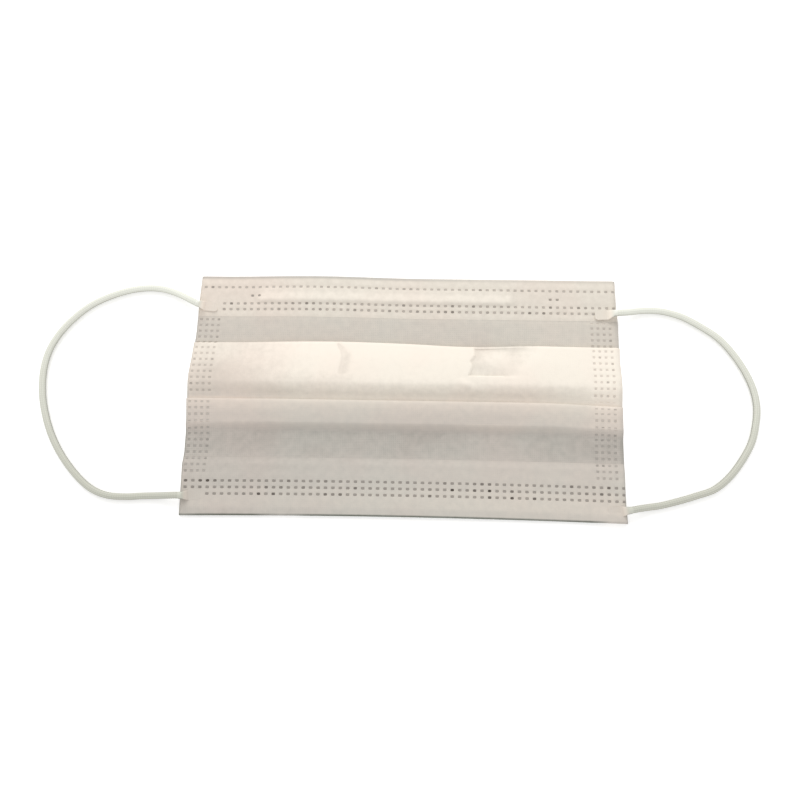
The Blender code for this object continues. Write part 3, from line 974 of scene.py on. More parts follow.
def sheet_cover(row, x, y, side):
    """Cover from 0 to 1 at a place on one skin of the sheet, with painted light and shade on the skin seen from above.
    """
    if side == OUTER or row.run not in SEEN_FROM_ABOVE:
        return read_off(SEEN_FROM_BELOW, y / MM)
    cover = read_off(SEEN_FROM_ABOVE[row.run], row.y / MM) - edge_dulling(x)
    x, y = x / MM, y / MM
    outward_share = ramp(abs(x), 25, 40)
    if row.run in ("first panel", "first fold", "first step"):
        # Painted shade: the first pleat darkens toward its left end.
        cover -= ramp(-x, 30, 40) * (LEFT_PAINTED_SHADE + LEFT_PAINTED_SHADE_LOW * ramp(y, 15, -8)
                                     - LEFT_PAINTED_SHADE_FOOT * ramp(y, 7, -5))
        cover += bells(FIRST_PLEAT_PAINTED_SHADES, x, y)
    elif row.run in ("second step", "lower band"):
        cover += 0.01 * outward_share + MIDDLE_LIFT * bell(x - 38, 24)
    # Painted light toward the right end of the mask.
    elif x > 0:
        cover += RIGHT_PAINTED_LIGHT * outward_share
    # Painted light at the mask's right end, on the first step and the second pleat.
    if row.run in ("first step", "second fold", "second panel"):
        cover += RIGHT_PAINTED_LIGHT * ramp(x, 70, 8)
    # Painted shade in the crescent and the hollow, over their modelled depth.
    if row.run in ("first panel", "first fold"):
        cover -= CRESCENT_PAINTED_SHADE * crescent(x, y) + HOLLOW_PAINTED_SHADE * hollow(x, y, 22.5, 1.0)
    return cover


print("runs that are seen from above", len(SEEN_FROM_ABOVE))

# %% Place of the sheet
PANEL_PUFF = 0.55 * MM
SECOND_PUFF = 0.2 * MM
SHEET_WAVES = 0.12 * MM
WAVE_SEED, PUFF_SEED = 3, 8


def belly(y, fold, hidden_fold):
    """Half a wave down a panel, from its fold to its hidden fold."""
    return math.sin(math.pi * min(max((fold - y) / (fold - hidden_fold), 0), 1))


def sheet_relief(row, x, y):
    """What the sheet's height gains or loses over its plain layers."""
    height = quilt(x, y) + SHEET_WAVES * waves(x, y, WAVE_SEED) + corner_curl(x, y)
    across = 1 - (x / HALF_WIDTH) ** 4
    if row.run == "first panel":
        puff = PANEL_PUFF * (0.7 + 0.6 * waves(x, y, PUFF_SEED)) * across
        height += puff * belly(y, FIRST_FOLD, FIRST_HIDDEN_FOLD)
        height -= CRESCENT_DEPTH * crescent(x / MM, y / MM)
        height -= HOLLOW_DEPTH * hollow(x / MM, y / MM)
    if row.run == "second panel":
        height += SECOND_PUFF * across * belly(y, SECOND_FOLD, SECOND_HIDDEN_FOLD)
    if row.run in ("first panel", "first step", "second step", "lower band"):
        height += wrinkles(x / MM, y / MM)
    return height


def sheet_place(row, x):
    """Place down the mask, height and thickness of the sheet at a row and column."""
    wall = WALL * cut_side(x)
    pitch = pitch_at(x)
    y = row.y + wander(x, row.y) - row.outward * (wall / 2 + pitch / 2 * (1 - row.swing))
    return y, row.layer * pitch + wall / 2 + sheet_relief(row, x, y), wall


print("puff of the bright panel in mm", round(PANEL_PUFF / MM, 2))

# %% The sheet itself
DENT_STEP = 0.45 * MM
SHEET_STEP = 1.8 * MM
dent_columns = {step * DENT_STEP for steps in (range(-62, -44), range(53, 68)) for step in steps}
sheet_columns = placed(-HALF_WIDTH, HALF_WIDTH,
                       dot_edges(nose_dots + side_dots, 0) | dent_columns, SHEET_STEP)


def seen_above(row):
    return row.run in SEEN_FROM_ABOVE and (row.run != "under second pleat"
                                           or row.y > SECOND_FOLD + WALL)


def seen_below(row):
    return row.layer == 0 or row.run in ("first step", "second step")


sheet_bm, sheet_faces, sheet_length = swept_wall(sheet_columns, sheet_rows, sheet_place,
                                                 sheet_cover)
pressed_above = press_dots(sheet_bm, sheet_faces[INNER], sheet_columns, sheet_rows, side_dots,
                           seen_above)
pressed_below = press_dots(sheet_bm, sheet_faces[OUTER], sheet_columns, sheet_rows,
                           underside_dots, seen_below)
pleated_sheet = finished_piece("pleated_sheet", sheet_bm, sheet_material)
print("columns", len(sheet_columns), "unfolded length in mm", round(sheet_length / MM, 1),
      "dots", pressed_above, pressed_below, "faces", len(pleated_sheet.data.polygons))

# %% [markdown]
# ## Hems
# Along both long edges the inner ply is turned back over the sheet and welded down. Each hem
# starts at a thin cut edge, lies on the sheet and rolls over the mask's edge to meet the
# outer ply. The nose hem is also the pocket of the wire and rises over it.

# %% Ridge over the wire
WIRE_LENGTH = 103 * MM
WIRE_WIDTH = 3.4 * MM
WIRE_THICKNESS = 0.6 * MM
WIRE_Y = 41.85 * MM
WIRE_OFF_CENTRE = -9 * MM
WIRE_END_RUN = 3 * MM
POCKET = {"y": 41.5 * MM, "half_width": WIRE_WIDTH / 2, "shoulder": 2.4 * MM}
# The sheen band is painted lighter: partly the white wire showing through the hem, partly a painted highlight on its
# ridge.
SHEEN = {"y": 41.3 * MM, "half_width": 0.8 * MM, "shoulder": 1.9 * MM}
POCKET_RISE = 0.6 * MM
HEM_WAVES = 0.14 * MM


def over_wire(x, y, ridge):
    """One over the wire and nought beside it, by a ridge's own width and shoulder."""
    off_end = abs(x - WIRE_OFF_CENTRE) - WIRE_LENGTH / 2
    off_edge = abs(y - ridge["y"]) - ridge["half_width"]
    return (1 - ramp(off_end, 0, WIRE_END_RUN)) * (1 - ramp(off_edge, 0, ridge["shoulder"]))


def chin_lift(x, y):
    return quilt(x, y) + HEM_WAVES * waves(x, y, WAVE_SEED) + corner_curl(x, y)


def nose_lift(x, y):
    return chin_lift(x, y) + POCKET_RISE * over_wire(x, y, POCKET)


print("height of the ridge in mm", round(nose_lift(0, POCKET["y"]) / MM, 2))

# %% Cover of the hems
NOSE_HEM_COVER, CHIN_HEM_COVER = 0.71, 0.26
WIRE_SHEEN = 0.13
# Painted shade: dark lines along the rolls at the nose and chin edges.
NOSE_EDGE_PAINTED_SHADE, CHIN_EDGE_PAINTED_SHADE = 0.42, 0.7


def nose_hem_cover(row, x, y, side):
    """Bright over the wire, where the white wire shows through and a highlight is painted, a little lighter above and
    below it, the band below being painted light that cancels the shading of the slope to the cut edge, and a painted
    shade line along the roll at the mask's edge.
    """
    cover = NOSE_HEM_COVER + WIRE_SHEEN * over_wire(x, y, SHEEN) - edge_dulling(x)
    free_edge = 1 - ramp(y, NOSE_HEM_END, 1.5 * MM)
    x, y = x / MM, y / MM
    # The bell at 34.5 mm is painted light that cancels the shading of the hem's slope down to its cut edge.
    cover += 0.05 * bell(y - 47.4, 2.4) + 0.05 * bell(y - 34.5, 3) - 0.04 * free_edge
    # Painted shade: a dark line along the roll at the nose edge.
    return cover - NOSE_EDGE_PAINTED_SHADE * ramp(y, 48.8, 0.8) * (1 - 0.6 * ramp(x, -20, 60))


def chin_hem_cover(row, x, y, side):
    """Painted light toward the right, lighter toward the margin, and painted shade that deepens into a dark line along
    the roll at the chin edge, which fades at places.
    """
    cover = CHIN_HEM_COVER - edge_dulling(x) + 0.05 * ramp(y, CHIN_HEM_END, -8 * MM)
    x, y = x / MM, y / MM
    # Painted light toward the right; painted shade that begins just inside the chin edge.
    cover += 0.12 * ramp(x, -80, 150) + 0.08 * ramp(y, -37.5, -4) - 0.1 * ramp(y, -46.3, -2)
    fading = (1 - 0.7 * bell(x + 47, 14)) * (1 - 0.85 * ramp(x, 74, 7))
    fading *= 0.6 + 0.4 * ramp(x, -87, 9)
    # Painted shade: a dark line along the roll at the chin edge.
    return cover - CHIN_EDGE_PAINTED_SHADE * ramp(y, -49.5, -0.35) * fading


print("cover of the hems at their middle",
      [round(cover(None, 0, y, INNER), 2)
       for cover, y in ((nose_hem_cover, 38 * MM), (chin_hem_cover, -38 * MM))])

# %% The hems themselves
HEM_ROLL_STEPS = 8
HEM_COLUMN_STEP = 0.9 * MM
CUT_EDGE_GAP = 0.015 * MM
CUT_EDGE_ROWS, CUT_EDGE_STEP = 3, 0.35 * MM
FIRST_HEM_ROW = 1 * MM
STUB_REACH = 0.02 * MM
LIFT_OVER_LAYER = 1.2
NOSE_HEM = {"end": NOSE_HEM_END, "outward": 1, "cut_wall": 0.02, "cut_run": 4.6 * MM,
            "row_step": 0.7 * MM, "lift": nose_lift, "cover": nose_hem_cover}
CHIN_HEM = {"end": CHIN_HEM_END, "outward": -1, "cut_wall": 0.09, "cut_run": 3.4 * MM,
            "row_step": 0.9 * MM, "lift": chin_lift, "cover": chin_hem_cover}


def hem_rows(hem, edges):
    """Rows from the cut edge to the mask's edge, round it and a stub under it."""
    end, outward = hem["end"], hem["outward"]
    corner = outward * (HALF_HEIGHT - FOLD_ROOM)
    return ([Row("hem", end + outward * CUT_EDGE_STEP * step, 1) for step in range(CUT_EDGE_ROWS)]
            + flat_rows("hem", end + outward * FIRST_HEM_ROW, corner, 1, edges, hem["row_step"])
            + turn_rows("roll", outward * HALF_HEIGHT, outward, HEM_ROLL_STEPS, 1, 0)
            + [Row("stub", outward * (SHEET_END + STUB_REACH), 0)])


def hem_band(name, hem, dots):
    """A hem, swept and pressed, whose wall tapers to its cut edge."""
    def place(row, x):
        pitch = pitch_at(x, HEM_LOOSE_PITCH)
        wall = WALL * cut_side(x)
        if row.run == "hem":
            full = ramp(abs(row.y - hem["end"]), 0, hem["cut_run"])
            pitch = wall + CUT_EDGE_GAP + (pitch - wall - CUT_EDGE_GAP) * full
            wall *= hem["cut_wall"] + (1 - hem["cut_wall"]) * full
        y = row.y - row.outward * (wall / 2 + pitch / 2 * (1 - row.swing))
        lifted = min(row.layer * LIFT_OVER_LAYER, 1)
        z = row.layer * pitch + wall / 2 + hem["lift"](x, y) * lifted
        return y, z, wall

    rows = hem_rows(hem, dot_edges(dots, 1))
    columns = placed(-HALF_WIDTH, HALF_WIDTH, dot_edges(dots, 0), HEM_COLUMN_STEP)
    hem_bm, faces, length = swept_wall(columns, rows, place, hem["cover"])
    top_skin = faces[OUTER if hem["outward"] > 0 else INNER]
    pressed = press_dots(hem_bm, top_skin, columns, rows, dots, lambda row: row.run == "hem")
    band = finished_piece(name, hem_bm, hem_material)
    print(name, "rows", len(rows), "unfolded mm", round(length / MM, 1), "dots", pressed,
          "faces", len(band.data.polygons))
    return band


chin_dots = chin_row_dots + [dot for dot in side_dots if dot[1] < CHIN_HEM_END]
nose_hem_band = hem_band("nose_hem_band", NOSE_HEM, nose_dots)
chin_hem_band = hem_band("chin_hem_band", CHIN_HEM, chin_dots)

# %% [markdown]
# ## Geometry Nodes from a short recipe
# What repeats is made by Geometry Nodes: one tile on every dot, one section along the wire
# and knitted loops along the elastic. The class below makes such a tree with named sizes,
# and then runs it once, so that only a plain mesh is left.

# %% A recipe of geometry nodes
SOCKETS = {float: "NodeSocketFloat", int: "NodeSocketInt"}


class Recipe(Web):
    """A Geometry Nodes tree with named sizes."""

    def __init__(self, name, sizes):
        super().__init__(bpy.data.node_groups.new(name, "GeometryNodeTree"))
        for way in ("INPUT", "OUTPUT"):
            self.tree.interface.new_socket("Geometry", in_out=way,
                                           socket_type="NodeSocketGeometry")
        for label, value in sizes.items():
            self.tree.interface.new_socket(label, in_out="INPUT",
                                           socket_type=SOCKETS[type(value)])
        self.sizes = sizes
        self.entry = self.tree.nodes.new("NodeGroupInput")

    def given(self, label):
        return Flow(self, self.entry.outputs[label])

    def named(self, label):
        """A direction or size that the starting points hold."""
        return self.node("GeometryNodeInputNamedAttribute", {"data_type": "FLOAT_VECTOR"},
                         {"Name": label})

    def store(self, geometry, label, value, domain="POINT"):
        """Write a value on the geometry under a name that a finish can read."""
        return self.node("GeometryNodeStoreNamedAttribute",
                         {"data_type": "FLOAT", "domain": domain},
                         {"Geometry": geometry, "Name": label, "Value": value})

    def capture(self, geometry, label, value):
        """Keep a value of a curve for the mesh that is made from it."""
        made = self.tree.nodes.new("GeometryNodeCaptureAttribute")
        made.capture_items.new("FLOAT", label)
        self.put(made.inputs[0], geometry)
        self.put(made.inputs[1], value)
        return Flow(self, made.outputs[0]), Flow(self, made.outputs[1])

    def start_line(self):
        return self.node("GeometryNodeMeshToCurve", {}, {"Mesh": self.given("Geometry")})

    def sweep(self, line, section):
        return self.node("GeometryNodeCurveToMesh", {},
                         {"Curve": line, "Profile Curve": section, "Fill Caps": True})

    def close(self, geometry, material):
        """End the tree: make instances real, set the finish and hand the result out."""
        real = self.node("GeometryNodeRealizeInstances", {}, {0: geometry})
        dressed = self.node("GeometryNodeSetMaterial", {}, {0: real, "Material": material})
        self.put(self.tree.nodes.new("NodeGroupOutput").inputs[0], dressed)

    def run_on(self, piece):
        """Run the tree on a piece and leave its result as the piece's plain mesh."""
        modifier = piece.modifiers.new(self.tree.name, "NODES")
        modifier.node_group = self.tree
        for item in self.tree.interface.items_tree:
            if item.in_out == "INPUT" and item.name in self.sizes:
                modifier[item.identifier] = self.sizes[item.name]
        graph = bpy.context.evaluated_depsgraph_get()
        result = bpy.data.meshes.new_from_object(piece.evaluated_get(graph), depsgraph=graph)
        piece.modifiers.remove(modifier)
        piece.data = result
        return piece


def seed_object(name, places, joined=True):
    """An object with bare points, joined in a line or loose, for a recipe to start from."""
    mesh = bpy.data.meshes.new(name)
    edges = [(n, n + 1) for n in range(len(places) - 1)] if joined else []
    mesh.from_pydata([tuple(place) for place in places], edges, [])
    return into_scene(name, mesh)


print("socket kinds", sorted(SOCKETS.values()))

# %% [markdown]
# ## Melted film in the dots
# The film is glassy and darker than the cloth, because light goes through it to whatever lies
# behind. No two dots melt alike, so each tile gets a seeded random number that shades it.

# %% Film finish
FILM_DARK = srgb(54, 43, 33)
FILM_MOTTLE = 1.6 / MM
PLAIN_SHADE, MOTTLE_SHADE, DARKEST_SHADE = 0.76, 0.3, 0.8
RARITY = 7.0


def film_finish():
    finish = Finish("melted film", {"Specular IOR Level": 0.45})
    mottle = finish.noise(finish.place(), FILM_MOTTLE)
    darkest = finish.stored("melt").math("POWER", RARITY)
    shade = finish.stored("tone") * (darkest * DARKEST_SHADE + mottle * MOTTLE_SHADE
                                     + PLAIN_SHADE)
    colour = finish.blend(shade, cloth_colour(finish, finish.stored("cover")), FILM_DARK)
    finish.surface({"Base Color": colour, "Normal": finish.bump(mottle, 0.3, 0.05 * MM),
                    "Roughness": 0.25 + mottle * 0.3})
    return finish.material


film_material = film_finish()
print("film finish", film_material.name)

# %% A tile of film on every dot
FILM_LIFT = 0.03 * MM
TILE_SIZES = {"Height": 0.07 * MM, "Top": 0.4, "Foot": 0.52, "Sides": 10, "Seed": 12}


def film_recipe():
    recipe = Recipe("weld film", TILE_SIZES)
    tile = recipe.node("GeometryNodeMeshCone", {"fill_type": "NGON"},
                       {"Vertices": recipe.given("Sides"), "Radius Top": recipe.given("Top"),
                        "Radius Bottom": recipe.given("Foot"), "Depth": recipe.given("Height")})
    turned = recipe.node("FunctionNodeAlignRotationToVector", {"axis": "Z"},
                         {"Vector": recipe.named("outward")})
    tiles = recipe.node("GeometryNodeInstanceOnPoints", {},
                        {"Points": recipe.given("Geometry"), "Instance": tile,
                         "Rotation": turned, "Scale": recipe.named("spread")})
    chance = recipe.node("FunctionNodeRandomValue", {"data_type": "FLOAT"},
                         {"Seed": recipe.given("Seed")}, out=1)
    recipe.close(recipe.store(tiles, "melt", chance, "INSTANCE"), film_material)
    return recipe


weld_film = seed_object("weld_film", [spot["middle"] + spot["outward"] * FILM_LIFT
                                      for spot in film_spots], joined=False)
for label in ("outward", "spread"):
    noted = weld_film.data.attributes.new(label, "FLOAT_VECTOR", "POINT")
    noted.data.foreach_set("vector", [part for spot in film_spots for part in spot[label]])
for label in ("tone", "cover"):
    noted = weld_film.data.attributes.new(label, "FLOAT", "POINT")
    noted.data.foreach_set("value", [spot[label] for spot in film_spots])
film_recipe().run_on(weld_film)
print("film tiles", len(film_spots), "faces", len(weld_film.data.polygons))

# %% [markdown]
# ## Nose wire
# The wire that is pinched over the nose is a flat strip of soft plastic with metal in it. It
# lies loose in its pocket, and only its low ridge shows. It's one rounded section that
# follows one line, so a recipe sweeps it.

# %% Wire finish
WIRE_STREAKS = 2.5 / MM
WIRE_WHITE, WIRE_GREY = srgb(236, 236, 234), srgb(216, 217, 216)


def wire_finish():
    finish = Finish("coated wire", {})
    stretched = finish.node("ShaderNodeMapping", {}, {"Vector": finish.place(),
                                                      "Scale": (0.15, 1, 1)})
    drawn = finish.noise(stretched, WIRE_STREAKS, detail=3.0)
    finish.surface({"Base Color": finish.blend(drawn, WIRE_WHITE, WIRE_GREY),
                    "Normal": finish.bump(drawn, 0.2, 0.05 * MM),
                    "Roughness": 0.3 + drawn * 0.2})
    return finish.material


wire_material = wire_finish()
print("wire finish", wire_material.name)

# %% The wire
WIRE_POINTS = 60
WIRE_BOTTOM = 0.91 * MM
WIRE_SIZES = {"Width": WIRE_WIDTH, "Thickness": WIRE_THICKNESS,
              "Corner": WIRE_THICKNESS * 0.42, "Corner steps": 5}


def wire_recipe():
    recipe = Recipe("flat wire", WIRE_SIZES)
    upright = recipe.node("GeometryNodeSetCurveNormal", {"mode": "Z_UP"},
                          {"Curve": recipe.start_line()})
    section = recipe.node("GeometryNodeCurvePrimitiveQuadrilateral", {"mode": "RECTANGLE"},
                          {"Width": recipe.given("Width"), "Height": recipe.given("Thickness")})
    rounded = recipe.node("GeometryNodeFilletCurve", {"mode": "POLY"},
                          {"Curve": section, "Count": recipe.given("Corner steps"),
                           "Radius": recipe.given("Corner")})
    recipe.close(recipe.sweep(upright, rounded), wire_material)
    return recipe


wire_line = []
for number in range(WIRE_POINTS + 1):
    x = WIRE_OFF_CENTRE + WIRE_LENGTH * (number / WIRE_POINTS - 0.5)
    wire_z = WIRE_BOTTOM + WIRE_THICKNESS / 2 + HEM_WAVES * waves(x, WIRE_Y, WAVE_SEED)
    wire_line.append(on_outline(x, WIRE_Y, wire_z))
coated_wire = wire_recipe().run_on(seed_object("coated_nose_wire", wire_line))
print("wire dimensions in mm", [round(size / MM, 2) for size in coated_wire.dimensions])

# %% [markdown]
# ## Ear loops
# Ear elastic is a thin knitted tube: rows of loops, called wales, run along it and each loop
# shows as a small V. The route is the frame's own, point by point, because a cord lies where
# its solid lies. The section is swept along it, and every corner is then pushed out or in by
# where it is on the wale and along the stitch.

# %% Routes of the elastic
CORD_DIAMETER = 2.7 * MM
LEFT_LOOP_ROUTE = (
    (-0.0866, 0.0364, 0.00395), (-0.0890, 0.0376, 0.00385), (-0.0935, 0.0401, 0.00270),
    (-0.0980, 0.0422, 0.00165), (-0.1032, 0.0436, 0.00145), (-0.1095, 0.0439, 0.00145),
    (-0.1170, 0.0427, 0.00145), (-0.1250, 0.0399, 0.00145), (-0.1325, 0.0358, 0.00145),
    (-0.1390, 0.0299, 0.00145), (-0.1442, 0.0230, 0.00145), (-0.1475, 0.0155, 0.00145),
    (-0.1486, 0.0070, 0.00145), (-0.1477, -0.0025, 0.00145), (-0.1451, -0.0116, 0.00145),
    (-0.1412, -0.0203, 0.00145), (-0.1358, -0.0285, 0.00145), (-0.1290, -0.0360, 0.00145),
    (-0.1225, -0.0410, 0.00145), (-0.1158, -0.0434, 0.00145), (-0.1088, -0.0438, 0.00145),
    (-0.1025, -0.0434, 0.00145), (-0.0970, -0.0432, 0.00175), (-0.0925, -0.0431, 0.00290),
    (-0.0885, -0.0430, 0.00390), (-0.0864, -0.0430, 0.00395))
RIGHT_LOOP_ROUTE = (
    (0.0869, 0.0346, 0.00395), (0.0890, 0.0348, 0.00390), (0.0930, 0.0355, 0.00290),
    (0.0978, 0.0365, 0.00175), (0.1030, 0.0368, 0.00145), (0.1085, 0.0361, 0.00145),
    (0.1150, 0.0340, 0.00145), (0.1218, 0.0302, 0.00145), (0.1288, 0.0251, 0.00145),
    (0.1340, 0.0187, 0.00145), (0.1383, 0.0110, 0.00145), (0.1408, 0.0037, 0.00145),
    (0.1415, -0.0035, 0.00145), (0.1404, -0.0106, 0.00145), (0.1380, -0.0180, 0.00145),
    (0.1336, -0.0252, 0.00145), (0.1282, -0.0317, 0.00145), (0.1220, -0.0366, 0.00145),
    (0.1150, -0.0392, 0.00145), (0.1075, -0.0415, 0.00145), (0.1005, -0.0433, 0.00150),
    (0.0955, -0.0441, 0.00190), (0.0915, -0.0448, 0.00310), (0.0880, -0.0455, 0.00395))
ROUTE_STEPS = 24
KNIT_STEP = 0.22 * MM


def curve_through(route):
    """Fine points on a smooth curve that passes through every point of a route."""
    places = [Vector(point) for point in route]
    padded = [2 * places[0] - places[1], *places, 2 * places[-1] - places[-2]]
    fine = []
    for before, start, end, after in zip(padded, padded[1:], padded[2:], padded[3:]):
        for step in range(ROUTE_STEPS):
            share = step / ROUTE_STEPS
            bend = 2 * before - 5 * start + 4 * end - after
            twist = 3 * start - 3 * end + after - before
            fine.append(start + 0.5 * share * (end - before + share * (bend + share * twist)))
    fine.append(places[-1])
    return fine


def evenly_spaced(line, spacing):
    """Points at equal steps along a line, with its two ends kept, and the line's length."""
    travelled = [0.0]
    for before, after in zip(line, line[1:]):
        travelled.append(travelled[-1] + (after - before).length)
    steps = math.ceil(travelled[-1] / spacing)
    points = [line[0]]
    number = 1
    for step in range(1, steps):
        goal = travelled[-1] * step / steps
        while travelled[number] < goal:
            number += 1
        share = (goal - travelled[number - 1]) / (travelled[number] - travelled[number - 1])
        points.append(line[number - 1].lerp(line[number], share))
    points.append(line[-1])
    return points, travelled[-1]


left_line, left_length = evenly_spaced(curve_through(LEFT_LOOP_ROUTE), KNIT_STEP)
right_line, right_length = evenly_spaced(curve_through(RIGHT_LOOP_ROUTE), KNIT_STEP)
print("loose elastic in mm, left and right", round(left_length / MM, 1),
      round(right_length / MM, 1))

# %% Elastic finish
ELASTIC_FUZZ = 4.5 / MM
ELASTIC_CLOUDS = 0.05 / MM
# Painted light and shade of the elastic: the nose end is painted lit and the chin end dim; in each, the low tone is
# painted shade on the cord's sides and the hollow tone painted shade in the knit's hollows.
CHIN_END_DIM_TONES = {"low": srgb(124, 124, 112), "hollow": srgb(188, 189, 177),
                  "raised": srgb(208, 209, 198)}
NOSE_END_LIT_TONES = {"low": srgb(186, 187, 177), "hollow": srgb(236, 238, 227),
                  "raised": srgb(252, 254, 245)}
WORN_COLOUR = srgb(206, 205, 192)
FUZZ_COLOUR = srgb(205, 205, 196)


def elastic_finish():
    """Knitted elastic with painted light toward the nose edge and painted shade on its sides and in its knit's
    hollows, and its ends melted to cloth.
    """
    finish = Finish("knitted elastic", {"Sheen Weight": 0.25, "Sheen Roughness": 0.45})
    place = finish.place()
    fuzz = finish.noise(place, ELASTIC_FUZZ, detail=4.0, distortion=1.0)
    drift = finish.noise(place, ELASTIC_CLOUDS)
    # Painted light that grows from the chin edge to the nose edge.
    nose_light_share = finish.part(place, "Y").between(-45 * MM, 45 * MM)
    low, shaded_hollow_tone, raised = (finish.blend(nose_light_share, CHIN_END_DIM_TONES[tone], NOSE_END_LIT_TONES[tone])
                                for tone in ("low", "hollow", "raised"))
    # Painted shade in the knit's hollows, then on the cord's sides by how far they face up.
    lit = finish.blend(finish.stored("relief").between(-0.6, 0.3), shaded_hollow_tone, raised)
    shaded = finish.blend(finish.stored("upward").between(0.0, 0.72), low, lit)
    worn = finish.blend(drift.between(0.3, 0.8) * 0.2, shaded, WORN_COLOUR)
    fuzzy = finish.blend(fuzz * 0.2, worn, FUZZ_COLOUR)
    pressed = tinted_cloth(finish, finish.stored("cover"))
    colour = finish.blend(finish.stored("melted"), fuzzy, pressed)
    finish.surface({"Base Color": colour, "Normal": finish.bump(fuzz, 0.35, 0.08 * MM),
                    "Roughness": 0.75 + fuzz * 0.2})
    return finish.material


elastic_material = elastic_finish()
print("elastic finish", elastic_material.name)

# %% Knitted tube
WALES = 10
KNIT_INSET = 0.03 * MM
V_DEPTH, RIB_DEPTH, RIB_LEVEL = 0.34, 0.66, 0.62
KNIT_SIZES = {"Radius": CORD_DIAMETER / 2 - KNIT_INSET, "Sides": 50, "Wales": float(WALES),
              "Stitch": 0.95 * MM, "Relief": 0.1 * MM, "V lean": 1.1}


def knit_recipe():
    recipe = Recipe("knitted tube", KNIT_SIZES)
    travelled = recipe.node("GeometryNodeSplineParameter", out="Length")
    path, along = recipe.capture(recipe.start_line(), "along", travelled)
    circle = recipe.node("GeometryNodeCurvePrimitiveCircle", {"mode": "RADIUS"},
                         {"Resolution": recipe.given("Sides"), "Radius": recipe.given("Radius")})
    turn = recipe.node("GeometryNodeSplineParameter", out="Factor")
    section, around = recipe.capture(circle, "around", turn)
    in_wale = (around * recipe.given("Wales")).math("FRACT") - 0.5
    lag = in_wale.math("ABSOLUTE") * recipe.given("V lean")
    stitch = (along.math("DIVIDE", recipe.given("Stitch")) - lag) * math.tau
    rib = (in_wale * math.pi).math("COSINE")
    relief = rib * (stitch.math("COSINE") * V_DEPTH + RIB_DEPTH) - RIB_LEVEL
    normal = recipe.node("GeometryNodeInputNormal")
    push = recipe.node("ShaderNodeVectorMath", {"operation": "SCALE"},
                       {0: normal, "Scale": relief * recipe.given("Relief")})
    knitted = recipe.node("GeometryNodeSetPosition", {},
                          {"Geometry": recipe.sweep(path, section), "Offset": push})
    # Relief and upward facing are stored for the elastic's painted shade.
    noted = recipe.store(knitted, "relief", relief)
    recipe.close(recipe.store(noted, "upward", recipe.part(normal, "Z")), elastic_material)
    return recipe


left_loop, right_loop = (knit_recipe().run_on(seed_object(name, line)) for name, line in (
    ("knitted_loop_left", left_line), ("knitted_loop_right", right_line)))
for loop in (left_loop, right_loop):
    loop.data.shade_smooth()
print("knit faces", len(left_loop.data.polygons), len(right_loop.data.polygons))

# %% [markdown]
# ## Welded ends of the loops
# Each end of the elastic is pressed flat and welded on the hem, and comes back to its round
# section where it leaves the mask. The section changes all the way, so each end is lofted
# ring by ring. It turns toward the cord as it rounds, and a short plug reaches into the
# cord, so that no gap shows. The welding horn leaves fine ridges across the flat part.

# %% Welds and their sections
WELD_LENGTH = 8.0 * MM
WELD_WIDTH = 4.0 * MM
WELD_THICKNESS = 0.26 * MM
CORD_BOTTOM = 2.6 * MM
HEM_TOP = PRESSED_PITCH + WALL + 0.5 * QUILT
WELD_SIDES = 44
WELD_RINGS = 90
RIDGE_PITCH = 0.85 * MM
RIDGE_DEPTH = 0.06 * MM
CROWN_DEPTH = 0.06 * MM
WALE_HEIGHT = 0.06 * MM
# The neck, where a pressed end climbs to the cord, is painted lighter to cancel the shading of its steep slope.
NECK_AT, NECK_REACH, NECK_PAINTED_LIGHT = 0.84, 0.26, 0.3
CLIMB_FROM, TURN_FROM = 0.55, 0.7
TIP_SHARE, TIP_RUN = 0.6, 0.08
PLUG_LENGTH = 0.7 * MM
PLUG_SHARE = 0.93
FLATNESS = ((1.0, 0.0), (0.89, 0.06), (0.78, 0.55), (0.65, 1.0), (0.0, 1.0))
WIDENESS = ((1.0, 1.0), (0.16, 1.0), (0.06, 0.9), (0.02, 0.75), (0.0, 0.5))
WELDS = (
    {"place": "nose_left", "side": -1, "rise": 5, "route": LEFT_LOOP_ROUTE, "cover": 0.7},
    {"place": "nose_right", "side": 1, "rise": 2, "route": RIGHT_LOOP_ROUTE, "cover": 0.74},
    {"place": "chin_left", "side": -1, "rise": -6, "route": LEFT_LOOP_ROUTE[::-1],
     "cover": 0.36},
    {"place": "chin_right", "side": 1, "rise": 8, "route": RIGHT_LOOP_ROUTE[::-1],
     "cover": 0.5},
)


def squared(value, power):
    """A sine or cosine raised toward a squarer section, with its sign kept."""
    return math.copysign(abs(value) ** power, value)


print("flatness at the middle of a weld", read_off(FLATNESS, 0.5))

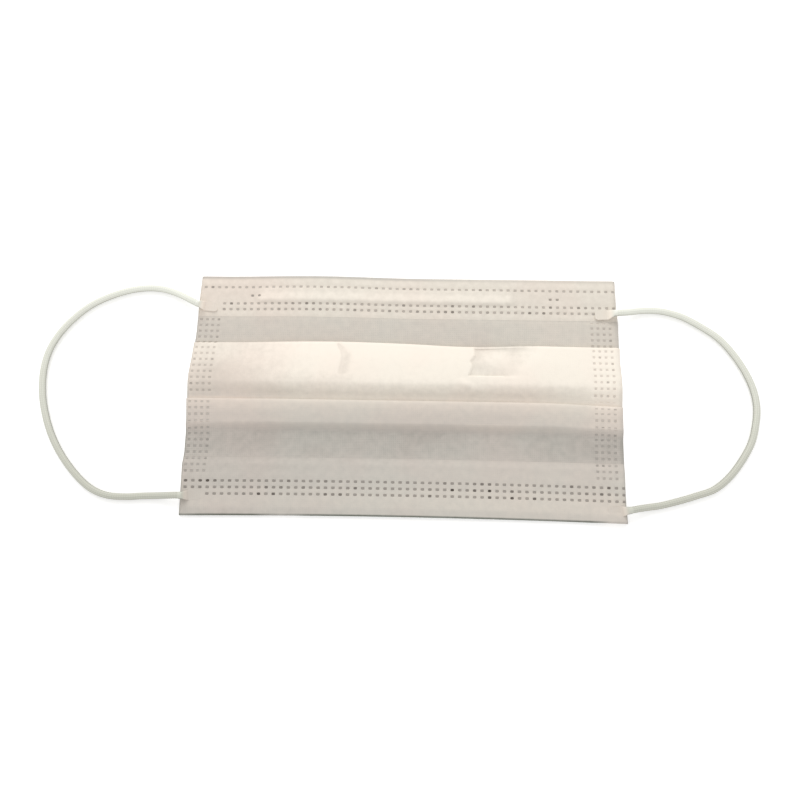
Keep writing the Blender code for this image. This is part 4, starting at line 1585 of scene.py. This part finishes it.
# %% Lofted weld
class PressedEnd:
    """A cord's flattened end, from its tip on the hem out to the round cord."""

    def __init__(self, weld):
        self.mouth, beyond = (Vector(point) for point in weld["route"][:2])
        rise = math.radians(weld["rise"])
        self.outward = Vector((weld["side"] * math.cos(rise), math.sin(rise), 0))
        self.leaving = (beyond - self.mouth).normalized()
        self.cover = weld["cover"]
        self.mesh_bm = bmesh.new()
        self.layers = [self.mesh_bm.verts.layers.float.new(label)
                       for label in ("relief", "melted", "upward", "cover")]

    def corner(self, place, values):
        made = self.mesh_bm.verts.new(place)
        for layer, value in zip(self.layers, values):
            made[layer] = value
        return made

    def ring(self, along):
        """Corners round the section at a share of the way from the tip to the cord."""
        flat = read_off(FLATNESS, along)
        full = CORD_DIAMETER + (WELD_WIDTH - CORD_DIAMETER) * flat
        half_wide = full * read_off(WIDENESS, along) / 2
        half_high = (CORD_DIAMETER + (WELD_THICKNESS - CORD_DIAMETER) * flat) / 2
        half_high *= TIP_SHARE + (1 - TIP_SHARE) * ramp(along, 0, TIP_RUN)
        centre = self.mouth - self.outward * WELD_LENGTH * (1 - along)
        climb = ramp(along, CLIMB_FROM, 1 - CLIMB_FROM)
        centre.z = (HEM_TOP + (CORD_BOTTOM - HEM_TOP) * climb
                    + corner_curl(centre.x, centre.y) * flat + half_high)
        turn = ramp(along, TURN_FROM, 1 - TURN_FROM)
        heading = self.outward.lerp(self.leaving, turn).normalized()
        sideways = Vector((-heading.y, heading.x, 0)).normalized()
        upright = heading.cross(sideways)
        groove = 1 - math.cos(math.tau * along * WELD_LENGTH / RIDGE_PITCH) * flat
        power = 1 / (1 + flat)
        # Painted light on the neck, to cancel the shading of its slope.
        cover = self.cover + NECK_PAINTED_LIGHT * bell(along - NECK_AT, NECK_REACH)
        corners = []
        for side in range(WELD_SIDES):
            angle = math.tau * (side + 0.5) / WELD_SIDES
            wide, high = math.cos(angle), math.sin(angle)
            upper = max(high, 0) * flat
            wale = WALE_HEIGHT * math.cos(WALES * angle) * (1 - 0.75 * flat)
            off_middle = (half_wide + wale) * squared(wide, power)
            rise = half_high * squared(high, power)
            rise -= upper * (RIDGE_DEPTH / 2 * groove + CROWN_DEPTH * (1 - wide * wide))
            # The section's height share is stored as its upward facing, for the elastic's painted side shade.
            corners.append(self.corner(
                centre + sideways * off_middle + upright * rise,
                (0.2 - 0.15 * upper * groove, smooth_step(flat * 1.3), high, cover)))
        return corners

    def plug(self, ring):
        """A smaller ring inside the cord."""
        return [self.corner(
            self.mouth + (corner.co - self.mouth) * PLUG_SHARE + self.leaving * PLUG_LENGTH,
            [corner[layer] for layer in self.layers]) for corner in ring]

    def close(self, rings):
        """Join the rings with faces, and close both ends."""
        for ring, following in zip(rings, rings[1:]):
            for n in range(WELD_SIDES):
                beside = (n + 1) % WELD_SIDES
                self.mesh_bm.faces.new((ring[n], ring[beside], following[beside], following[n]))
        for ring in (rings[0], rings[-1]):
            self.mesh_bm.faces.new(ring)
        bmesh.ops.recalc_face_normals(self.mesh_bm, faces=self.mesh_bm.faces)


def pressed_end(weld):
    end = PressedEnd(weld)
    rings = [end.ring(step / WELD_RINGS) for step in range(WELD_RINGS + 1)]
    end.close([*rings, end.plug(rings[-1])])
    return finished_piece("pressed_end_" + weld["place"], end.mesh_bm, elastic_material, 50)


pressed_ends = [pressed_end(weld) for weld in WELDS]
print("pressed ends", [piece.name for piece in pressed_ends])

# %% [markdown]
# ## Light and floor
# The photograph is bright and nearly without shadow. A pale sky from all around gives that,
# and one large soft light beyond the nose edge leaves the pleats' lower sides a little dull.
# The floor is a plain pale sheet far larger than the view. It glows faintly, so that it
# stays as white as the photograph's ground.

# %% Light
SKY_COLOUR, SKY_STRENGTH = (1.0, 0.995, 0.985, 1), 0.79
LIGHT_PLACE, LIGHT_SIZE, LIGHT_POWER = (-0.25, 1.0, 0.85), 0.9, 7.0
LIGHT_COLOUR = (1.0, 0.985, 0.96)

scene = bpy.context.scene
scene.view_settings.view_transform = "Standard"
scene.world = bpy.data.worlds.new("pale sky")
scene.world.use_nodes = True
sky = scene.world.node_tree.nodes["Background"]
sky.inputs["Color"].default_value = SKY_COLOUR
sky.inputs["Strength"].default_value = SKY_STRENGTH
light_data = bpy.data.lights.new("large soft light", "AREA")
light_data.shape = "SQUARE"
light_data.size = LIGHT_SIZE
light_data.energy = LIGHT_POWER
light_data.color = LIGHT_COLOUR
light = into_scene("large soft light", light_data)
light.location = LIGHT_PLACE
light.rotation_euler = (-Vector(LIGHT_PLACE)).to_track_quat("-Z", "Y").to_euler()
print("light's distance in m", round(Vector(LIGHT_PLACE).length, 2))

# %% Floor
FLOOR_DROP = 0.05 * MM
FLOOR_HALF = 3.0
FLOOR_GRAIN = 60.0
FLOOR_GLOW = 0.3
FLOOR_WHITE, FLOOR_GREY = srgb(252, 252, 252), srgb(248, 248, 248)


def floor_finish():
    finish = Finish("pale floor", {"Roughness": 0.9, "Specular IOR Level": 0.2,
                                   "Emission Color": (1, 1, 1, 1),
                                   "Emission Strength": FLOOR_GLOW})
    grain = finish.noise(finish.place(), FLOOR_GRAIN)
    finish.surface({"Base Color": finish.blend(grain, FLOOR_WHITE, FLOOR_GREY)})
    return finish.material


floor_bm = bmesh.new()
floor_bm.faces.new([floor_bm.verts.new((x * FLOOR_HALF, y * FLOOR_HALF, -FLOOR_DROP))
                    for x, y in ((-1, -1), (1, -1), (1, 1), (-1, 1))])
floor = finished_piece("pale_floor", floor_bm, floor_finish())
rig.stage(floor)
print("floor half width in m", FLOOR_HALF)

# %% [markdown]
# ## What each piece is
# The frame has to know which solid each piece stands for, and which pieces are cloth or
# cord, with the sizes that they were cut to. The loops end on the mask at both ends.

# %% Pieces, sheets and cords
FLAT_WIDTH = 0.175
SHEET_FLAT_LENGTH = 0.151
NOSE_HEM_FLAT = 0.0195
CHIN_HEM_FLAT = 0.0248
LEFT_LOOP_LENGTH = 0.177
RIGHT_LOOP_LENGTH = 0.153
STANDS_FOR = (
    (pleated_sheet, "pleated_cloth", "pleated_cloth"),
    (nose_hem_band, "nose_hem", "hem_cloth"),
    (chin_hem_band, "chin_hem", "hem_cloth"),
    (coated_wire, "nose_wire", "wire_coating"),
    (left_loop, "ear_loop_left", "loop_elastic"),
    (right_loop, "ear_loop_right", "loop_elastic"),
    *((piece, "loop_weld_" + weld["place"], "pressed_elastic")
      for piece, weld in zip(pressed_ends, WELDS)),
)
for piece, node, slot_name in STANDS_FOR:
    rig.ride(piece, "root")
    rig.replaces(piece, node)
    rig.slot(piece, slot_name)
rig.ride(weld_film, "root")
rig.slot(weld_film, "hem_cloth")
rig.sheet(pleated_sheet, flat=(FLAT_WIDTH, SHEET_FLAT_LENGTH), held="folded", rests_on=[])
for band, flat_depth in ((nose_hem_band, NOSE_HEM_FLAT), (chin_hem_band, CHIN_HEM_FLAT)):
    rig.sheet(band, flat=(FLAT_WIDTH, flat_depth), held="folded", rests_on=[pleated_sheet])
for loop, line, length in ((left_loop, left_line, LEFT_LOOP_LENGTH),
                           (right_loop, right_line, RIGHT_LOOP_LENGTH)):
    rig.cord(loop, exit=line[0], length=length, diameter=CORD_DIAMETER, far_end="object",
            stiffness="limp", lay="loose", path=line)
print("pieces on the body", len(STANDS_FOR) + 1)

# %% Size of the dressed object
visual_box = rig.bounds()
sizes = {"cad": [list(corner) for corner in cad_box],
         "visual": [list(corner) for corner in visual_box]}
with open("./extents.json", "w") as size_file:
    json.dump(sizes, size_file)
print("visual box in mm", [[round(value / MM, 1) for value in corner] for corner in visual_box])
